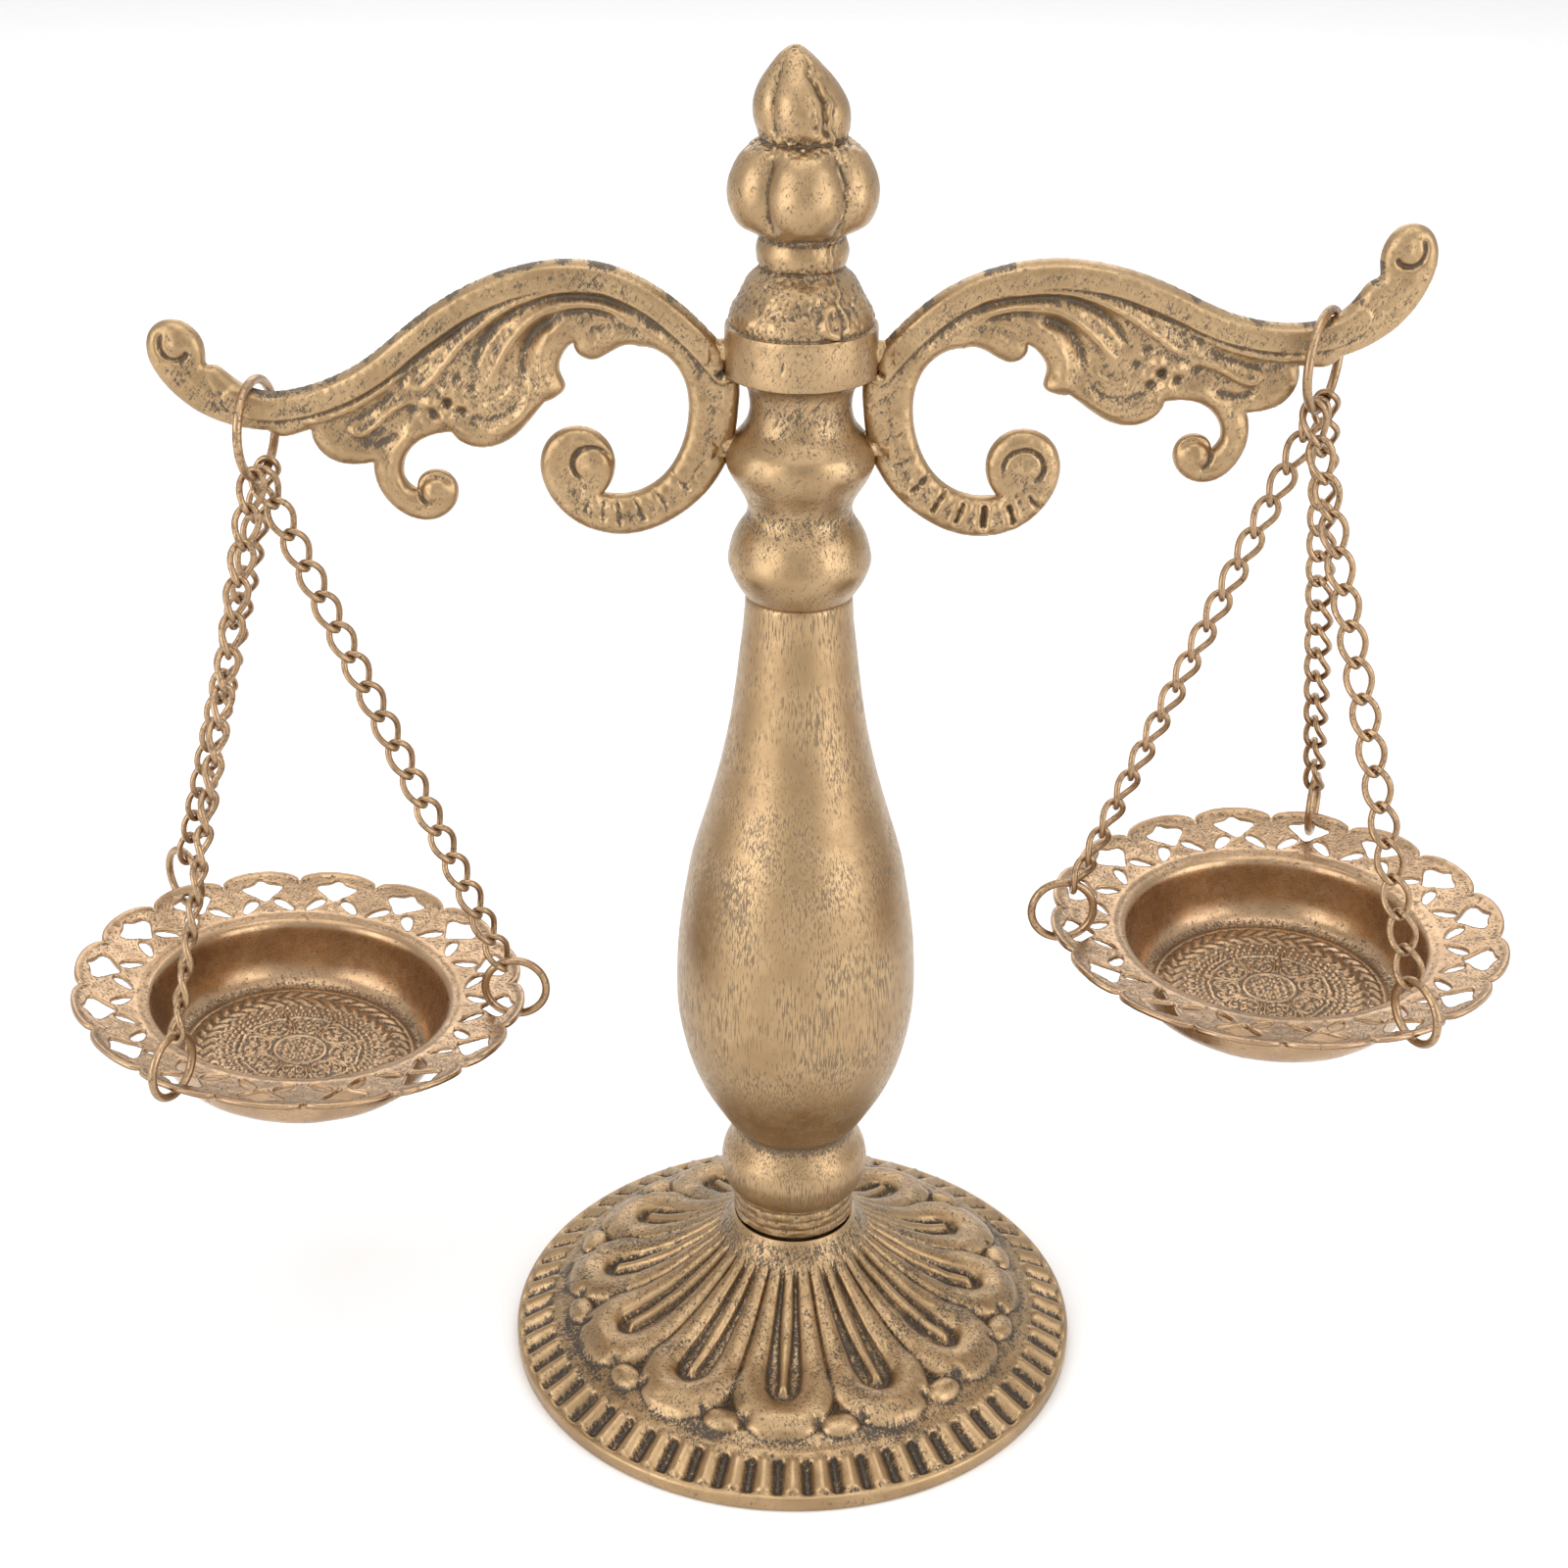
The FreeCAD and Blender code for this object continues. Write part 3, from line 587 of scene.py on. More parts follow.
def make_materials():
    return {
        "base": gilt("gilt_base", GOLD, DEEP_GOLD, MID_PATINA, streak=(3.0, 3.0, 2.0), wear=-0.24,
                     specks=0.66, shine=0.38, grain=0.06, soft=0.55, scatter=0.7),
        "column": gilt("gilt_column", GOLD, DEEP_GOLD, COLUMN_PATINA, streak=(4.0, 4.0, 0.30), wear=-0.75,
                       specks=0.50, shine=0.38, grain=0.05, soft=0.25, scatter=0.22),
        "cast": gilt("gilt_cast", GOLD, DEEP_GOLD, SOFT_PATINA, streak=(2.5, 2.5, 1.6), wear=-0.34,
                     specks=0.62, shine=0.36, grain=0.06, soft=0.35, scatter=0.7),
        "pan": gilt("gilt_pan", BRASS, DEEP_BRASS, SOFT_PATINA, streak=(1.0, 1.0, 3.4), wear=-0.38,
                    specks=0.64, shine=0.27, grain=0.03),
        "wire": gilt("gilt_wire", WIRE_GOLD, DEEP_BRASS, SOFT_PATINA, streak=(1.6, 1.6, 1.6), wear=-0.40,
                     specks=0.62, shine=0.32, grain=0.03),
        "steel": steel("plain_steel"),
    }


# ---------------------------------------------------------------- base

def petal_height(radius, across):
    """Relief of one petal sector. across is the distance along the circle from the sector's middle line."""
    half = radius * math.pi / PETALS
    width = 0.70 * PETAL_SHOULDER * math.pi / PETALS
    rows = np.arange(PETAL_START, PETAL_SHOULDER, 0.15)
    side = np.stack([0.69 * rows * math.pi / PETALS, rows], 1)
    turn = np.radians(np.arange(0, 91, 2.0))
    tip = np.stack([width * np.cos(turn), PETAL_SHOULDER + PETAL_TIP * np.sin(turn)], 1)
    loop = np.vstack([side, tip])
    places = np.stack([np.abs(across).ravel(), radius.ravel()], 1)
    far, _ = nearest(places, loop)
    far = far.reshape(radius.shape)
    wide = 0.30 * np.minimum(half, 9.5) * smooth(radius, 12.0, 16.0) + 0.12 * smooth(radius, 30, 40) * half
    depth = smooth(radius, 13.6, 17.0)
    ridge = np.sqrt(np.clip(1 - (far / np.maximum(wide, 1e-6)) ** 2, 0, 1))
    high = 0.55 + 0.75 * smooth(radius, 22, 41)
    inside = (np.abs(across) < np.interp(radius, loop[:, 1], loop[:, 0])) & (radius < 41.2)
    rib_wide = np.clip(0.24 * half * (1 - 0.55 * smooth(radius, 18, 36)), 0.45, None)
    rib = np.sqrt(np.clip(1 - (across / rib_wide) ** 2, 0, 1)) * ease_off(radius, 34.6, 36.6)
    floor = np.where(inside, -1.15, -1.0 * ease_off(radius, 38.0, 43.5))
    body = floor + (high - floor) * np.where(far < wide, ridge ** 0.8, 0)
    body = np.maximum(body, floor + (0.35 - floor) * rib * inside)
    spare = 0.35 * np.exp(-((radius - 41.0) / 1.5) ** 2) * bell(across, 4.5)
    bud_far = ((np.abs(across) - half) / 3.7) ** 2 + ((radius - 42.6) / 2.3) ** 2
    bud = 1.25 * np.sqrt(np.clip(1 - bud_far, 0, 1))
    pit = -0.9 * bell(np.hypot(np.abs(across) - half + 4.3, (radius - 41.9) * 0.8), 1.0)
    pit += -0.5 * bell(np.abs(across) - half, 1.6) * bell(radius - 38.8, 1.6)
    return body * depth * ease_off(radius, 43.5, 46.0) + spare + bud + pit


def flute_height(radius, angle):
    """Short dark slots between rounded ribs round the foot."""
    step = TAU / FLUTES
    offset = (angle / step + 0.5) % 1.0 - 0.5
    across = offset * step * radius
    end = np.clip(np.abs(radius - FLUTE_RADIUS) - 2.1, 0, None)
    slot = np.clip(1 - (np.hypot(across, end) / 1.3) ** 2, 0, 1)
    swell = 0.75 * np.cos(TAU * (offset + 0.5)) * smooth(radius, 46.8, 48.6) * ease_off(radius, 53.0, 54.3)
    return -1.35 * slot ** 1.2 + np.maximum(swell, 0)


def build_base(materials):
    columns = PETALS * 80
    flank = spline_through(BASE_FLANK, 0.28)
    rest = np.vstack([walk(BASE_RIM, 0.5)[1:], walk(BASE_INSIDE, 3.0)[1:]])
    path = np.vstack([flank, rest])
    normals = section_normals(path, True)
    a, r, z = turned_grid(path, columns)
    from_petal = a - math.radians(FRONT_PETAL)
    step = TAU / PETALS
    across = ((from_petal / step + 0.5) % 1.0 - 0.5) * step * r
    on_flank = (np.arange(len(path)) < len(flank))[:, None]
    height = np.zeros_like(r)
    n = len(flank)
    height[:n] = petal_height(r[:n], across[:n]) + flute_height(r[:n], from_petal[:n])
    height[:n] += bands(r[:n], BASE_LINES)
    flat = ring_places(r, z, a)
    wobble = rough(flat, 3.0, 5) * 0.10
    height = (height + wobble) * on_flank * smooth(r, 12.0, 13.4)
    height = np.where(r > 54.9, 0, height)
    nr, nz = normals[:, :1], normals[:, 1:]
    places = ring_places(r + nr * height, z + nz * height, a).reshape(-1, 3)
    faces = lay_grid(len(path), columns, True, True)
    smudge = smooth(rough(flat, 6.0, 9), -0.1, 0.9)
    # Wear on the rim edge, dirt smudges on the flank and in the groove before the flutes, and painted shade
    # in a ring round the stub where it sits in the collar.
    wear_dirt_and_shade = 0.12 * smooth(r, 52.5, 54.0) - 0.30 * bell(r - 12.6, 1.2) - 0.45 * smudge * smooth(r, 15.0, 24.0)
    wear_dirt_and_shade -= 0.35 * bell(r - 45.4, 1.1) * smudge
    wear_dirt_and_shade = np.where(on_flank, wear_dirt_and_shade, 0.1 - 0.5 * smudge).ravel()
    return make("base_casting", "stand", materials["base"], places, faces, ["base_shell"],
                wear_dirt_and_shade, ((8, 0.09), (50, 0.45)))


# ---------------------------------------------------------------- column and head

def build_column(materials):
    columns = 192
    runs = [walk(COLUMN_FOOT, 1.5), walk(COLUMN_THREAD, 0.16)[1:], spline_through(COLUMN_BEAD, 0.5)[1:],
            spline_through(COLUMN_SEAM[:3], 0.2)[1:], walk(COLUMN_SEAM[2:], 2.0)[1:]]
    path = np.vstack(runs)
    a, r, z = turned_grid(path, columns)
    coil = (z - THREAD_START - THREAD_PITCH * a / TAU) / THREAD_PITCH
    groove = -0.10 * bell((coil + 0.5) % 1.0 - 0.5, 0.2) * smooth(z, 28.9, 29.6) * ease_off(z, 34.0, 34.8)
    flat = ring_places(r, z, a)
    dents = rough(flat, 1.6, 21) * 0.16 * smooth(z, 28.6, 29.0) * ease_off(z, 34.6, 35.2)
    ripple = rough(flat * [1, 1, 0.3], 14.0, 23, 2) * 0.05
    ripple *= smooth(z, 36, 40) * ease_off(z, 154, 157)
    r = np.where(r > 11.0, r + groove + dents, r) + ripple * (r > 3)
    places = ring_places(r, z, a)
    # Painted highlight along the top seam; darker bands in the crease under the lower bead and at the waist,
    # and darker over the threaded stub.
    shade = bands(z, COLUMN_SHADE) - 0.45 * ease_off(z, 35.0, 35.6)
    places, faces, shade = cap(places, shade, (0, 0, path[0, 1]), (0, 0, path[-1, 1]))
    return make("column_body", "stand", materials["column"], places, faces, ["column"], shade)


def lobed(angle, front, sharp):
    """1 in the middle of each lobe and 0 in the grooves between them."""
    offset = ((angle - math.radians(front)) * HEAD_LOBES / TAU + 0.5) % 1.0 - 0.5
    return np.clip(np.cos(offset * math.pi), 0, 1) ** sharp


def angle_gap(angle, degrees):
    return (angle - math.radians(degrees) + math.pi) % TAU - math.pi


def head_relief(r, z, a, flat):
    """Height above the turned shape: lobes, leaves, the parting line, a casting lump and rough patches."""
    melon = smooth(z, 221.0, 223.2) * ease_off(z, 233.6, 235.6)
    height = melon * (lobed(a, 3.0, 0.6) * 2.5 - 1.95)
    onion = smooth(z, 236.4, 238.2) * ease_off(z, 245.5, 249.6)
    height += onion * (lobed(a, -3.0, 0.45) * 1.15 - 0.95)
    seam = angle_gap(a, PARTING) * np.maximum(r, 2.0)
    wander = 0.35 * np.sin(z * 0.9) + 0.2 * np.sin(z * 2.3)
    along = smooth(z, 206.8, 209.0) * ease_off(z, 246.0, 249.6)
    height += 0.42 * bell(seam + wander, 0.42) * along
    height -= 0.35 * bell(seam + wander + 0.9, 0.45) * along * onion
    back = angle_gap(a, PARTING + 180) * np.maximum(r, 2.0)
    height += 0.3 * bell(back + wander, 0.4) * along
    # A crescent-shaped lump of spare metal on the dome, to the right of the front.
    px = angle_gap(a, 27.0) * 11.6
    pz = z - 208.6
    crescent = bell(np.hypot(px, pz * 0.85) - 1.75, 0.72) * ease_off(px, 0.2, 1.3)
    height += 1.0 * crescent + 0.5 * bell(np.hypot(px + 0.3, pz), 1.1)
    dome = smooth(z, 206.2, 207.2) * ease_off(z, 213.4, 215.0)
    leaves = np.zeros_like(r)
    for rise, degrees, wide, level, tall in DOME_LEAVES:
        leaves += rise * bell(angle_gap(a, degrees) * r, wide) * bell(z - level, tall)
    height += dome * leaves
    patches = (bell(z - 236.0, 1.7) + 0.9 * bell(z - 215.6, 1.3) * smooth(-angle_gap(a, 30), -0.4, 0.2)
               + 0.8 * bell(z - 220.9, 1.0) + 0.6 * dome + 0.55 * bell(z - 206.4, 0.7)
               + 0.35 * bell(z - 218.0, 1.5) * smooth(angle_gap(a, 0), -0.2, 0.6))
    grit = rough(flat, 0.75, 41, 2)
    height += 0.22 * np.clip(patches, 0, 1) * grit
    height += 0.07 * rough(flat, 3.2, 45, 2)
    crack = bell(angle_gap(a, 16) * r, 0.55) * bell(z - 238.9, 3.5) * onion
    height += 0.35 * crack * rough(flat, 1.1, 47)
    height -= 0.3 * bell(angle_gap(a, -14.0) * 12.7 - 0.15 * (z - 202), 0.22) * bell(z - 201.6, 1.0)
    return height, np.clip(patches, 0, 1)


def build_head(materials):
    columns = 288
    runs = []
    for k, run in enumerate(HEAD_RUNS):
        fine = 0.26
        piece = walk(run, 1.5) if k == 0 else walk(spline_through(run, fine), fine)
        runs.append(piece if k == 0 else piece[1:])
    path = np.vstack(runs)
    normals = -section_normals(path, False)
    a, r, z = turned_grid(path, columns)
    flat = ring_places(r, z, a)
    height, patches = head_relief(r, z, a, flat)
    height *= smooth(r, 0.0, 1.6) * smooth(z, 158.0, 159.2)
    nr, nz = normals[:, :1], normals[:, 1:]
    lean = 1.3 * smooth(z, 236.0, 250.5)
    places = ring_places(r + nr * height, z + nz * height, a)
    places[..., 0] -= lean
    shade = bands(z, HEAD_SHADE) - 0.22 * patches
    places, faces, shade = cap(places, shade, (0, 0, path[0, 1]), (places[-1, :, 0].mean(), 0, path[-1, 1]))
    return make("head_casting_body", "stand", materials["cast"], places, faces,
                ["head_casting"], shade, ((8, 0.07), (50, 0.5)))


# ---------------------------------------------------------------- arms

def bend(points, degrees, stretch):
    """Turn the outer half of the arm about the bend and draw it in or out."""
    p = np.asarray(points, float)
    turn = math.radians(degrees) * np.clip((p[:, 0] - BEND_CENTRE[0] + 7.0) / 14.0, 0, 1)
    d = p - BEND_CENTRE
    d[:, 0] += np.clip(p[:, 0] - STRETCH_START, 0, None) * stretch
    return np.stack([d[:, 0] * np.cos(turn) - d[:, 1] * np.sin(turn),
                     d[:, 0] * np.sin(turn) + d[:, 1] * np.cos(turn)], 1) + BEND_CENTRE


def outline(node):
    """The node's outline seen from the front, as a closed loop in the XZ plane, in millimetres."""
    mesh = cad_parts[node].data
    keys, index = np.unique(np.round(vertex_places(mesh), 3), axis=0, return_inverse=True)
    triangles = index.ravel()[triangle_corners(mesh)]
    p = keys[triangles]
    normal = np.cross(p[:, 1] - p[:, 0], p[:, 2] - p[:, 0])
    size = np.linalg.norm(normal, axis=1)
    front = triangles[(size > 1e-9) & (normal[:, 1] < -0.25 * size)]
    onward = {}
    for a, b in open_edges(front):
        onward.setdefault(int(a), []).append(int(b))
    loops = []
    while onward:
        start = next(iter(onward))
        loop = [start]
        while loop[-1] in onward:
            following = onward[loop[-1]].pop()
            if not onward[loop[-1]]:
                del onward[loop[-1]]
            if following == start:
                break
            loop.append(following)
        loops.append(keys[loop][:, [0, 2]])
    return max(loops, key=lambda l: np.abs(np.roll(l, -1, 0) - l).sum())


def soften(loop, centre, reach, rounds):
    """Evens out a closed loop within reach of a place."""
    loop = walk(np.vstack([loop, loop[:1]]), 0.15)[:-1]
    weight = 0.5 * bell(np.linalg.norm(loop - centre, axis=1), reach)[:, None]
    for _ in range(rounds):
        loop = loop + weight * ((np.roll(loop, 1, 0) + np.roll(loop, -1, 0)) / 2 - loop)
    return loop


def inside_loop(places, loop):
    """Whether each place is inside a closed loop, by counting crossings."""
    a, b = loop, np.roll(loop, -1, 0)
    inside = np.zeros(len(places), bool)
    order = np.argsort(places[:, 1], kind="stable")
    rows, starts = np.unique(places[order, 1], return_index=True)
    ends = np.append(starts[1:], len(order))
    for level, start, end in zip(rows, starts, ends):
        cross = (a[:, 1] > level) != (b[:, 1] > level)
        x = a[cross, 0] + (level - a[cross, 1]) * (b[cross, 0] - a[cross, 0]) / (b[cross, 1] - a[cross, 1])
        which = order[start:end]
        inside[which] = (np.searchsorted(np.sort(x), places[which, 0]) % 2) == 1
    return inside


def strokes_height(flat, put):
    """Sum of the ribs, grooves, lumps and pits at places in the XZ plane."""
    height = np.zeros(len(flat))
    for rise, wide, points in STROKES:
        line = put(spline_through(points, 0.3))
        low, high = line.min(0) - 3 * wide, line.max(0) + 3 * wide
        near = ((flat > low) & (flat < high)).all(1)
        far, which = nearest(flat[near], line)
        ends = np.minimum(which, len(line) - 1 - which) / (len(line) * 0.12)
        height[near] += rise * bell(far, wide) * (0.25 + 0.75 * np.clip(ends, 0, 1))
    for rise, wide, point in LUMPS:
        centre = put([point])[0]
        height += rise * bell(np.linalg.norm(flat - centre, axis=1), wide)
    return height


def notch_height(flat, put, strength, wide):
    """Ragged notches with a raised lip on each side."""
    height = np.zeros(len(flat))
    pitted = np.clip(rough(wide, 0.8, 83, 2), -0.6, 2.0)
    for (first, last), deep in zip(NOTCHES, NOTCH_DEPTHS):
        line = put(spline_through([first, last], 0.2))
        near = np.linalg.norm(flat - line.mean(0), axis=1) < 4
        far, _ = nearest(flat[near], line)
        cut = 0.35 * bell(far - 1.05, 0.6) - 0.8 * bell(far, 0.3 + 0.25 * pitted[near])
        height[near] += strength * deep * cut
    return height


def curl_height(flat, put, sign):
    """A round boss in each curl, with a groove that winds out round it."""
    height = np.zeros(len(flat))
    for centre, boss, groove, start, end in CURLS:
        d = flat - put([centre])[0]
        d = np.stack([d[:, 0] * sign, d[:, 1]], 1)
        far = np.linalg.norm(d, axis=1)
        angle = np.degrees(np.arctan2(d[:, 1], d[:, 0]))
        turn = (angle - start) % 360.0
        reach = smooth(turn, 0.0, 40.0) * smooth(-turn, -(end - start), -(end - start) + 40.0)
        radius = groove * (0.78 + 0.42 * turn / (end - start))
        height += -0.75 * bell(far - radius, 0.42) * reach
        height += 0.7 * bell(far, boss)
    return height


def arm_grid(loop, cell):
    """Square grid inside a loop, its edge drawn onto it: places, quads, edge vertices, distance inwards."""
    low, high = loop.min(0) - cell, loop.max(0) + cell
    nx, nz = (np.ceil((high - low) / cell).astype(int) + 1)
    x, z = np.meshgrid(low[0] + cell * np.arange(nx), low[1] + cell * np.arange(nz), indexing="ij")
    flat = np.stack([x.ravel(), z.ravel()], 1)
    quads = lay_grid(nx, nz, False, False)
    quads = quads[inside_loop(flat[quads].mean(1), loop)]
    used, quads = np.unique(quads, return_inverse=True)
    quads = quads.reshape(-1, 4)
    flat = flat[used]
    sides = np.sort(np.stack([quads, np.roll(quads, -1, 1)], 2).reshape(-1, 2), 1)
    pairs, times = np.unique(sides, axis=0, return_counts=True)
    rim = np.unique(pairs[times == 1])
    edge = walk(np.vstack([loop, loop[:1]]), 0.06)
    far, which = nearest(flat[rim], edge)
    close = far < 1.6 * cell
    flat[rim[close]] = edge[which[close]]
    flat = relax(flat, pairs, rim, 6)
    far, _ = nearest(flat, edge[::2])
    far[rim] = 0.0
    if signed_area(flat, quads) < 0:
        quads = quads[:, ::-1]
    return flat, quads, rim, far


def arm_half(far, crest_far, fade, relief, wide):
    """Half the arm's thickness: a dished body with relief and a rounded edge, and the band on its crest."""
    band = 1.3 * fade * np.sqrt(np.clip(BEAD_RADIUS ** 2 - np.minimum(crest_far, BEAD_RADIUS) ** 2, 0, None))
    round_edge = np.sqrt(np.clip(1 - (1 - np.minimum(far, EDGE_ROUND) / EDGE_ROUND) ** 2, 0, 1))
    dish = 0.35 * smooth(far, 2.0, 5.0)
    body = ARM_HALF - dish + relief
    body += 0.10 * rough(wide, 2.4, 61, 2) + 0.035 * rough(wide, 0.6, 63, 2)
    half = 0.22 + (np.clip(body, 0.7, 2.85) - 0.22) * round_edge
    return np.maximum(half, np.minimum(band, 2.5) * round_edge ** 0.5)


def arm_shade(flat, rim, far, crest_far, wide, flower):
    """Dirt: a broken dark line along the crest's edge, smudges, and a little round the flower."""
    shade = np.zeros(len(flat))
    on_crest = crest_far[rim] < BEAD_RADIUS + 0.6
    shade[rim] = -0.9 * on_crest * smooth(rough(wide[rim], 2.2, 75, 2), -0.25, 0.35)
    near_crest = crest_far < BEAD_RADIUS + 1.0
    shade -= 1.9 * bell(far, 0.9) * near_crest * smooth(rough(wide, 2.6, 77), -0.3, 0.5)
    shade -= 0.45 * smooth(rough(wide, 6.0, 79), 0.1, 0.9)
    shade -= 0.12 * bell(np.linalg.norm(flat - flower, axis=1), 9.0)
    return shade


def build_arm(materials, side):
    sign = -1 if side == "left" else 1
    node = "arm_" + side

    def put(points):
        """Places on this side's bent arm."""
        return bend(points, *ARM_BEND[side]) * [sign, 1]

    loop = soften(outline(node), put([TIP_NOTCH])[0], 4.5, 500)
    flat, quads, rim, far = arm_grid(loop, 0.25)
    crest = put(spline_through(CREST, 0.3)) - [0, BEAD_RADIUS]
    crest_far, which = nearest(flat, crest)
    fade = smooth(len(crest) - 1 - which, 2.0, 26.0)
    relief = strokes_height(flat, put) + curl_height(flat, put, sign)
    wide = np.stack([flat[:, 0], 0 * far, flat[:, 1]], 1)
    relief += notch_height(flat, put, NOTCH_STRENGTH[side], wide)
    half = arm_half(far, crest_far, fade, relief, wide)
    flash = 0.05 * lattice(wide / 0.9, 71)
    middle = np.stack([flat[:, 0], flash, flat[:, 1]], 1)
    facing = np.tile([0.0, -1.0, 0.0], (len(flat), 1))
    places, faces = shell(middle, facing, quads, half[:, None])
    shade = arm_shade(flat, rim, far, crest_far, wide, put([FLOWER])[0])
    return make(node + "_casting", "stand", materials["cast"], places, faces, [node],
                np.concatenate([shade, shade]), ((8, 0.11), (50, 0.45)))


def signed_area(flat, quads):
    p = flat[quads[0]]
    return np.cross(p[1] - p[0], p[2] - p[0])


def relax(flat, pairs, fixed, rounds):
    """Evens out the grid near its snapped edge."""
    count = len(flat)
    degree = np.bincount(pairs.ravel(), minlength=count)[:, None]
    free = np.ones(count, bool)
    free[fixed] = False
    for _ in range(rounds):
        total = np.zeros_like(flat)
        for k in range(2):
            total[:, k] = (np.bincount(pairs[:, 0], flat[pairs[:, 1], k], count)
                           + np.bincount(pairs[:, 1], flat[pairs[:, 0], k], count))
        flat = np.where(free[:, None], 0.5 * flat + 0.5 * total / degree, flat)
    return flat


def build_lugs(materials, side):
    """Short cast lugs between an arm and the head, swollen where they run into each."""
    sign = -1 if side == "left" else 1
    lugs = []
    for inner, outer, height, radius in LUGS:
        columns = 48
        along = np.linspace(0, 1, 25)
        angles = TAU * np.arange(columns) / columns
        a, t = np.meshgrid(angles, along)
        swell = radius * (0.86 + 0.34 * (2 * t - 1) ** 2)
        x = sign * (inner + (outer - inner) * t)
        places = np.stack([x, swell * np.cos(a), height + swell * np.sin(a) * 0.95], -1).reshape(-1, 3)
        grit = 0.22 * rough(places, 1.3, 81 + sign, 3)
        centre = np.stack([places[:, 0], 0 * places[:, 1], np.full(len(places), height)], 1)
        outward = places - centre
        outward /= np.linalg.norm(outward, axis=1, keepdims=True)
        places = places + outward * grit[:, None]
        faces = close_ends(lay_grid(len(along), columns, False, True), len(along), columns)
        ends = [[sign * inner, 0, height], [sign * outer, 0, height]]
        lugs.append((np.vstack([places, ends]), faces))
    total = np.vstack([p for p, _ in lugs])
    faces = list(lugs[0][1]) + [[v + len(lugs[0][0]) for v in f] for f in lugs[1][1]]
    return make("arm_lugs_%s_casting" % side, "stand", materials["cast"], total, faces,
                ["arm_lugs_" + side], -0.12)


# ---------------------------------------------------------------- pans

def local_lobe(angle):
    """Angle in degrees from the nearest lobe's middle line."""
    step = 360.0 / LOBES
    return (np.degrees(angle) / step + 0.5) % 1.0 * step - step / 2


def rim_edge(angle):
    """Radius of the scalloped edge."""
    lobe = np.abs(local_lobe(angle)) / (180.0 / LOBES)
    return PAN_VALLEY + (PAN_RADIUS - PAN_VALLEY) * np.sqrt(np.clip(1 - lobe ** 2.2, 0, 1)) ** 0.9


def hole_loops():
    """Outlines of one lobe's three holes, in (distance along, radius) about the lobe's middle line."""
    other_half = [(r, -d) for r, d in HALF_FAN[-2:0:-1]]
    fan = np.array([(math.radians(d) * r, r) for r, d in other_half + HALF_FAN])
    loops = [spline_through(np.vstack([fan, fan[:1]]), 0.1)[:-1]]
    for sign in (-1, 1):
        t = np.linspace(0, TAU, 90, endpoint=False)
        long_way = 2.45 * np.cos(t)
        short_way = 1.2 * np.sin(t) * (1 - 0.25 * np.cos(t))
        lean = math.radians(LEAF_HOLE_LEAN) * sign
        u = long_way * math.sin(lean) + short_way * math.cos(lean)
        v = long_way * math.cos(lean) - short_way * math.sin(lean)
        middle = math.radians(LEAF_HOLE_TURN) * LEAF_HOLE_RADIUS * sign
        loops.append(np.stack([middle + u, LEAF_HOLE_RADIUS - v], 1))
    return loops


def rim_relief(r, lobe_along, angle, flat):
    """Raised edges and stippled ground of the pierced rim."""
    edge = rim_edge(angle)
    height = 0.28 * bell(edge - r - 0.4, 0.7)
    height += 0.12 * bell(r - 30.0, 0.6)
    ground = smooth(r, 30.8, 31.6) * smooth(edge - r, 1.4, 2.2)
    stipple = np.maximum(np.sin(r * 7.0 + 1.2 * np.sin(lobe_along * 3.1)) * np.sin(lobe_along * 6.6), -0.3)
    height += 0.09 * ground * stipple
    height += 0.05 * rough(flat, 1.2, 91, 2) * smooth(r, 28.5, 30.0)
    return height


def floor_relief(r, a):
    """Stamped pattern of the pan's floor: a beaded boss, scrolled petals, rows of beads and a rope border."""
    x, y = r * np.cos(a), r * np.sin(a)
    k = TAU / 1.35
    hexes = (np.cos(k * x) + np.cos(k * (x / 2 + y * 0.866)) + np.cos(k * (x / 2 - y * 0.866))) / 3
    height = 0.28 * np.clip(hexes, -0.2, 1) * ease_off(r, 3.7, 4.3)
    height += 0.30 * bell(r - 4.75, 0.3)
    step = TAU / FLOOR_PETALS
    offset = ((a / step + 0.5) % 1.0 - 0.5) * step
    u, v = np.abs(r * np.sin(offset)), r * np.cos(offset)
    near = (r > 4.6) & (r < 12.2)
    places = np.stack([u[near], v[near]], 1)
    best = np.full(len(places), 9.0)
    for stroke in FLOOR_STROKES:
        far, _ = nearest(places, spline_through(stroke, 0.12))
        best = np.minimum(best, far)
    petal = np.zeros_like(r)
    petal[near] = 0.34 * bell(best, 0.26) - 0.06
    height += petal
    for radius, count, size, rise in FLOOR_BEADS:
        turn = ((a * count / TAU + 0.5) % 1.0 - 0.5) * TAU / count * radius
        height += rise * np.sqrt(np.clip(1 - (turn ** 2 + (r - radius) ** 2) / size ** 2, 0, 1))
    for radius, wide, count, lean in FLOOR_ROPES:
        across = (r - radius) / wide
        twist = a * count - lean * (across * 1.5 + 0.5 * np.sin(math.pi * across))
        strand = np.abs(np.cos(twist / 2)) ** 1.6
        height += 0.36 * strand * np.sqrt(np.clip(1 - across ** 2, 0, 1))
    height += bands(r, FLOOR_LINES)
    return 1.35 * height * ease_off(r, 21.6, 22.4)


def pan_frame(side):
    """Centre and axes of a pan's edge plane, from the middles of its three carry rings."""
    out, up = PAN_RING_PLACE
    turn = np.radians(PAN_RINGS[side])
    boxes = [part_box("pan_ring_%s_%s" % (side, place)) for place in ("front", "side", "back")]
    there = np.array([np.mean([list(corner) for corner in box], axis=0) / MM for box in boxes])
    here = np.stack([out * np.cos(turn), out * np.sin(turn), np.full(3, up)], 1)
    u, _, v = np.linalg.svd((here - here.mean(0)).T @ (there - there.mean(0)))
    flip = np.diag([1.0, 1.0, np.sign(np.linalg.det(v.T @ u.T))])
    axes = v.T @ flip @ u.T
    return there.mean(0) - axes @ here.mean(0), axes


